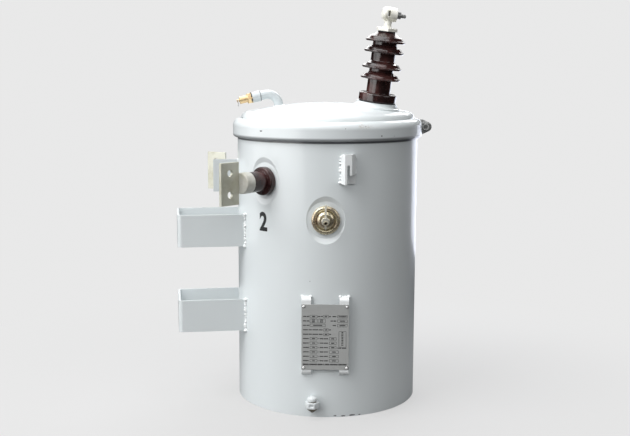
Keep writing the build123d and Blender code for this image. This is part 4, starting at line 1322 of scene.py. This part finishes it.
@dataclass
class Fasteners(SubAssembly):
    """Threads of the terminal's stud and of the clamp band's bolt.

    The nut's face and the shank's tip are looked for beside the axis, at these shares of the radius.
    """

    stud: Thread = Thread("hv_clamp_stud", "hv_clamp_nut", 4 * MM, 1.4 * MM, 1.4 * MM, 1)
    bolt: Thread = Thread("band_bolt", "band_nut", 5 * MM, 1.6 * MM, 1.6 * MM, -1)
    ridge: float = 0.55 * MM
    nut_side: float = 1.35
    tip_side: float = 0.3

    def wind(self, name: str, plan: Thread) -> None:
        """Winds a thread from the nut's face to the bare tip of the shank.

        Args:
            name: The thread's name.
            plan: Where it goes, and its sizes.
        """
        centre, radius = middle(plan.nut), plan.radius
        axis = (middle(plan.shank) - centre).normalized() * plan.way
        aside = axis.cross(UP).normalized()
        outside = centre + axis * PROBE
        start = (surface(plan.nut, outside + aside * self.nut_side * radius, -axis) - centre).dot(axis)
        tip = (surface(plan.shank, outside + aside * self.tip_side * radius, -axis) - centre).dot(axis)
        coil = thread(radius, self.ridge, plan.pitch, tip - start - plan.bare)
        smooth(coil, 25.0)
        self.dress(coil, name, Slot.ZINC, along(centre + axis * start, axis))

    def build(self) -> None:
        """Winds both threads."""
        self.wind("clamp_stud_thread", self.stud)
        self.wind("band_bolt_thread", self.bolt)


@dataclass
class Fittings(SubAssembly):
    """Small turned rings on the vent's sleeve, the tap changer's pin hole and the band's bolt."""

    sleeve_radius: float = 11.5 * MM
    sleeve_roll: float = 1.2 * MM
    sleeve_half: float = 8.4 * MM
    gap_back: float = 10.0 * MM
    gap_wire: float = 0.7 * MM
    joint_radius: float = 11.6 * MM
    joint_length: float = 2.6 * MM
    joint_chamfer: float = 0.5 * MM
    pin_radius: float = 3.0 * MM
    pin_rim: float = 1.4 * MM
    pin_rise: float = 0.9 * MM
    pin_drop: float = 3.5 * MM
    washer_radius: float = 10.4 * MM
    washer_wire: float = 0.8 * MM
    washer_back: float = 7.0 * MM
    crown_radius: float = 7.6 * MM
    crown_width: float = 3.0 * MM
    crown_rise: float = 1.1 * MM
    crown_sunk: float = 0.4 * MM

    def roll(self, radius: float, wire: float) -> Piece:
        """Turns a ring of round wire, flat on its local XY plane."""
        turn = [math.tau * i / 10 for i in range(11)]
        return lathe([(radius + wire * math.cos(a), wire * math.sin(a)) for a in turn], 40, 180.0)

    def vent(self) -> None:
        """Rolls the sleeve's inner end, paints the shade of the gap past that end as a dark ring, and turns the
        dark ring between sleeve and valve.
        """
        sleeve, roll = middle("vent_sleeve"), self.sleeve_roll
        axis = (middle("relief_valve") - sleeve).normalized()
        half = axis * self.sleeve_half
        ring = self.roll(self.sleeve_radius - 0.4 * roll, roll)
        # The roll takes the pipe's darker enamel, a painted shade.
        self.dress(ring, "vent_sleeve_roll", Slot.PAINT, along(sleeve - half, axis), Trim.PIPE_PAINT)
        # A dark ring in the rubber finish just past the sleeve's inner end: painted shade of the gap there.
        gap = self.roll(self.sleeve_radius - 0.9 * MM, self.gap_wire)
        self.dress(gap, "vent_sleeve_gap_shade", Slot.RUBBER, along(sleeve - axis * self.gap_back, axis))
        edge, length, chamfer = self.joint_radius, self.joint_length, self.joint_chamfer
        profile = [
            (0, 0), (edge - chamfer, 0), (edge, chamfer), (edge, length - chamfer),
            (edge - chamfer, length), (0, length),
        ]
        joint = lathe(profile, 32, 40.0)
        self.dress(joint, "vent_sealing_ring", Slot.RUBBER, along(sleeve + half, axis))

    def pin_hole(self) -> None:
        """Turns the bright rim of the pin hole in the tap changer's handle, and a disc in its bore painted black
        as the hole's shade.
        """
        joint = frame["joints"][0]
        pivot, way = Vector(joint["pos_m"]), Vector(joint["axis"]).normalized()
        face = max((v.co - pivot).dot(way) for v in frame["nodes"]["tap_handle"].data.vertices)
        place = along(pivot + way * face - UP * self.pin_drop, way)
        inner, outer, rise = self.pin_radius, self.pin_radius + self.pin_rim, self.pin_rise
        profile = [
            (inner, -0.3 * MM), (outer, -0.3 * MM), (outer, 0.2 * MM), (outer - 0.5 * MM, rise),
            (inner + 0.4 * MM, rise), (inner, 0.5 * MM), (inner, -0.3 * MM),
        ]
        self.dress(lathe(profile, 28, 30.0), "tap_pin_rim", Slot.YELLOW_ZINC, place, body=HANDLE)
        # A flat disc in the bore, painted near-black: painted shade for the depth of the hole.
        profile = [
            (0, -1.2 * MM), (inner, -1.2 * MM), (inner, 0.1 * MM), (0.8 * inner, 0.3 * MM), (0, 0.3 * MM),
        ]
        bore = lathe(profile, 24, 30.0)
        self.dress(bore, "tap_pin_bore_shade", Slot.YELLOW_ZINC, place, Trim.BORE, HANDLE)

    def band_bolt(self) -> None:
        """Turns the raised ring on the band bolt's head, and its bright washer rim."""
        centre = middle("band_nut")
        shank = middle("band_bolt") - centre
        way = Vector((shank.x, shank.y, 0)).normalized()
        if way.y > 0:
            way = -way
        tip = surface("band_bolt", centre + way * PROBE, -way)
        outer, rise, sunk = self.crown_radius, self.crown_rise, self.crown_sunk
        inner = outer - self.crown_width
        profile = [
            (inner, -sunk), (outer, -sunk), (outer, sunk), (outer - 0.8 * MM, rise),
            (inner + 0.8 * MM, rise), (inner, 0.2 * MM), (inner, -sunk),
        ]
        crown = lathe(profile, 32, 30.0)
        self.dress(crown, "band_bolt_crown", Slot.ZINC, along(tip, way), Trim.GALVANISED)
        rim = self.roll(self.washer_radius, self.washer_wire)
        place = along(tip - way * self.washer_back, way)
        self.dress(rim, "band_washer_rim", Slot.ZINC, place, Trim.BRIGHT_STEEL)

    def build(self) -> None:
        """Builds all rings."""
        self.vent()
        self.pin_hole()
        self.band_bolt()


@dataclass
class EarthConnector(SubAssembly):
    """Earthing connector near the tank's foot: a domed screw over a hexagon, its point and its stub."""

    azimuth: float = -16.8
    distance: float = 0.2135
    bottom: float = 24.5 * MM
    flats: float = 26.0 * MM
    tall: float = 12.8 * MM
    rounding: float = 1.5 * MM
    notch_inset: float = 3.6 * MM
    notch_depth: float = 1.6 * MM
    notch_rise: float = 1.2 * MM
    dome_radius: float = 10.6 * MM
    dome_height: float = 10.4 * MM
    dome_chamfer: float = 1.2 * MM
    dome_lean: float = -7.0
    neck: float = 1.6 * MM
    neck_sunk: float = 1.0 * MM
    neck_height: float = 2.5 * MM
    point_radius: float = 10.8 * MM
    point_height: float = 11.0 * MM
    point_tip: float = 1.8 * MM
    point_skirt: float = 3.0 * MM
    stub_radius: float = 8.0 * MM
    stub_length: float = 8.0 * MM
    stub_seat: float = 0.2003

    def at(self, height: float) -> Matrix:
        """Gives the frame on the connector's upright axis at a height. Its Z points up."""
        place = wall_place(self.azimuth, self.distance, 0) @ Matrix.Rotation(math.radians(-90), 4, "X")
        return place @ shift(z=height)

    def hexagon(self) -> None:
        """Shapes the hexagon: chamfered rims, and a worn notch in the upper part of its front."""
        body = fresh(
            bpy.ops.mesh.primitive_circle_add, vertices=6, radius=self.flats / math.sqrt(3),
            fill_type="NGON", rotation=(0, 0, math.radians(30)),
        )
        seat(body, Matrix.Identity(4))
        with editing(body) as mesh:
            extrude(0, 0, self.tall)
            bpy.ops.mesh.select_all(action="SELECT")
            bpy.ops.mesh.normals_make_consistent(inside=False)
            choose(mesh, lambda face: face.normal.y < -0.9)
            bpy.ops.mesh.inset(thickness=self.notch_inset)
            extrude(0, self.notch_depth, self.notch_rise)
        bevel(body, self.rounding, 3, 35.0)
        smooth(body, 35.0)
        # The hexagon, like the dome and stub, takes the darker enamel, a painted shade.
        self.dress(body, "earth_hexagon", Slot.PAINT, self.at(self.bottom), Trim.EARTH_PAINT)
        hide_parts("earth_connector")

    def screw(self) -> None:
        """Turns the leaning dome and the bare neck under it."""
        radius, height, chamfer = self.dome_radius, self.dome_height, self.dome_chamfer
        top = self.bottom + self.tall
        profile = [
            (0, 0), (radius - chamfer, 0), (radius, chamfer), (radius, 0.45 * height),
            (0.86 * radius, 0.75 * height), (0.5 * radius, 0.95 * height), (0, height),
        ]
        dome = lathe(profile, 36)
        bevel(dome, 1.0 * MM, 2, 20.0)
        smooth(dome, 60.0)
        lean = Matrix.Rotation(math.radians(self.dome_lean), 4, "Y")
        reach, sunk, tall = 0.85 * radius, self.neck_sunk, self.neck_height
        neck = lathe([(0, -sunk), (reach, -sunk), (reach, tall), (0, tall)], 24)
        self.dress(neck, "earth_neck", Slot.BRONZE, self.at(top))
        self.dress(dome, "earth_dome", Slot.PAINT, self.at(top + self.neck) @ lean, Trim.EARTH_PAINT)

    def point(self) -> None:
        """Turns the point under the hexagon."""
        radius, height, tip = self.point_radius, self.point_height, self.point_tip
        skirt, collar = self.point_skirt, 1.0 * MM
        profile = [
            (0, -height), (tip, 0.6 * MM - height), (radius, -skirt), (radius, collar), (0, collar),
        ]
        cone = lathe(profile, 32, 30.0)
        self.dress(cone, "earth_point", Slot.BRONZE, self.at(self.bottom))
        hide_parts("earth_tip")

    def stub(self) -> None:
        """Turns the stub that joins the connector to the wall."""
        radius, length = self.stub_radius, self.stub_length
        profile = [
            (0, 0), (radius + 1.5 * MM, 0), (radius + 0.4 * MM, 1.6 * MM), (radius, length), (0, length),
        ]
        place = wall_place(self.azimuth, self.stub_seat, self.bottom + self.tall / 2)
        self.dress(lathe(profile, 28, 40.0), "earth_stub", Slot.PAINT, place, Trim.EARTH_PAINT)

    def build(self) -> None:
        """Builds the connector's pieces and seats them on the wall."""
        self.hexagon()
        self.screw()
        self.point()
        self.stub()


# ------------ Stage, lights and camera


@dataclass(frozen=True)
class SoftBox:
    """A studio softbox that the camera doesn't see."""

    name: str
    place: Triple
    aim: Triple
    width: float
    height: float
    power: float
    colour: Colour = (1.0, 1.0, 1.0)

    def build(self) -> None:
        """Hangs the light."""
        lamp = fresh(bpy.ops.object.light_add, type="AREA", location=self.place)
        lamp.name = self.name
        lamp.data.shape = "RECTANGLE"
        lamp.data.size, lamp.data.size_y = self.width, self.height
        lamp.data.energy, lamp.data.color = self.power, self.colour
        lamp.rotation_euler = (Vector(self.aim) - Vector(self.place)).to_track_quat("-Z", "Y").to_euler()
        lamp.visible_camera = False


@dataclass
class Studio:
    """Pale floor, even surround, softboxes and the camera."""

    pale: float = 0.813
    fill: float = 0.004
    floor_radius: float = 14.0
    floor_rim: float = 8.4
    shadow_start: float = 0.25
    shadow_reach: float = 1.1
    shadow_share: float = 0.38
    bounce: float = 0.02
    matte: float = 0.50
    boxes: tuple[SoftBox, ...] = (
        SoftBox("low_key_box", (-2.6, -1.5, 0.6), (0, 0, 0.3), 2.2, 1.2, 23.8),
        SoftBox("high_key_box", (-2.0, -0.9, 2.5), (0, 0, 0.4), 1.8, 1.8, 64.0),
        SoftBox("side_box", (-2.8, 0.4, 1.3), (0, 0, 0.4), 1.6, 2.2, 20.3),
        SoftBox("front_box", (-0.6, -2.6, 2.3), (0, 0, 0.4), 2.4, 1.4, 25.5),
        SoftBox("right_box", (2.2, -2.0, 1.9), (0, 0, 0.5), 2.0, 2.0, 20.5),
        SoftBox("back_box", (0.5, 2.1, 2.0), (0.05, 0, 0.6), 2.6, 1.4, 50.0),
        SoftBox("top_box", (-0.1, 0.0, 2.7), (0, 0, 0.6), 1.8, 1.8, 36.0),
        SoftBox(
            "edge_panel", (0.936, 1.063, 0.41), (0.793, 0.084, 0.41), 1.16, 0.64, 7.0, (0.84, 0.88, 1.0)
        ),
    )
    camera_place: Triple = (-0.3482, -2.1986, 0.7211)
    camera_way: Triple = (0.1429, 0.9792, -0.1438)
    camera_roll: float = 0.195
    lens: float = 56.8
    sensor: float = 36.0

    def floor(self) -> None:
        """Lays the floor, which takes soft shadows near the unit and fades into the surround."""
        ground = fresh(
            bpy.ops.mesh.primitive_circle_add, vertices=96, radius=self.floor_radius, fill_type="NGON"
        )
        ground.name = "studio_floor"
        with editing(ground):
            bpy.ops.mesh.inset(thickness=self.floor_rim)
        nodes = Nodes(bpy.data.materials.new("studio_floor"))
        shadow = nodes.span(
            nodes.length(nodes.place), self.shadow_start, self.shadow_reach, self.shadow_share, 0.0
        )
        seen = nodes.add("ShaderNodeLightPath").outputs["Is Camera Ray"]
        strength = nodes.span(seen, 0.0, 1.0, self.bounce, self.pale)
        glow = nodes.add("ShaderNodeEmission", {"Strength": strength})
        matte = nodes.add("ShaderNodeBsdfDiffuse", {"Color": (self.matte,) * 3})
        nodes.show(nodes.blend(shadow, glow, matte))
        ground.data.materials.append(nodes.owner)

    def surround(self) -> None:
        """Sets an even pale surround to look at, and a much dimmer one that fills the shadows."""
        world = bpy.context.scene.world = bpy.data.worlds.new("studio")
        nodes = Nodes(world)
        fill = nodes.add("ShaderNodeBackground", {"Color": (self.fill,) * 3})
        pale = nodes.add("ShaderNodeBackground", {"Color": (self.pale,) * 3})
        seen = nodes.add("ShaderNodeLightPath").outputs["Is Camera Ray"]
        nodes.show(nodes.blend(seen, fill, pale))

    def camera(self) -> None:
        """Sets up the camera."""
        camera = fresh(bpy.ops.object.camera_add, location=self.camera_place)
        camera.data.lens = self.lens
        camera.data.sensor_width = self.sensor
        turn = Vector(self.camera_way).to_track_quat("-Z", "Y").to_matrix().to_4x4()
        roll = Matrix.Rotation(math.radians(self.camera_roll), 4, "Z")
        camera.matrix_world = Matrix.Translation(self.camera_place) @ turn @ roll
        bpy.context.scene.camera = camera

    def build(self) -> None:
        """Builds the whole studio."""
        self.floor()
        self.surround()
        for box in self.boxes:
            box.build()
        self.camera()
        bpy.context.scene.view_settings.view_transform = "Standard"


def main() -> None:
    """Builds the studio, the finishes and every piece."""
    logging.basicConfig(level=logging.INFO, format="%(name)s: %(message)s")
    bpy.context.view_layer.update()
    Studio().build()
    palette = Palette()
    palette.paint_nodes()
    WeldShop(palette).build()
    RatingPlate(palette).build()
    TerminalNumeral(palette, "terminal_numeral_front", "2", -51.3).build()
    TerminalNumeral(palette, "terminal_numeral_rear", "1", -128.7).build()
    Fasteners(palette).build()
    Fittings(palette).build()
    EarthConnector(palette).build()


if __name__ == "__main__":
    main()
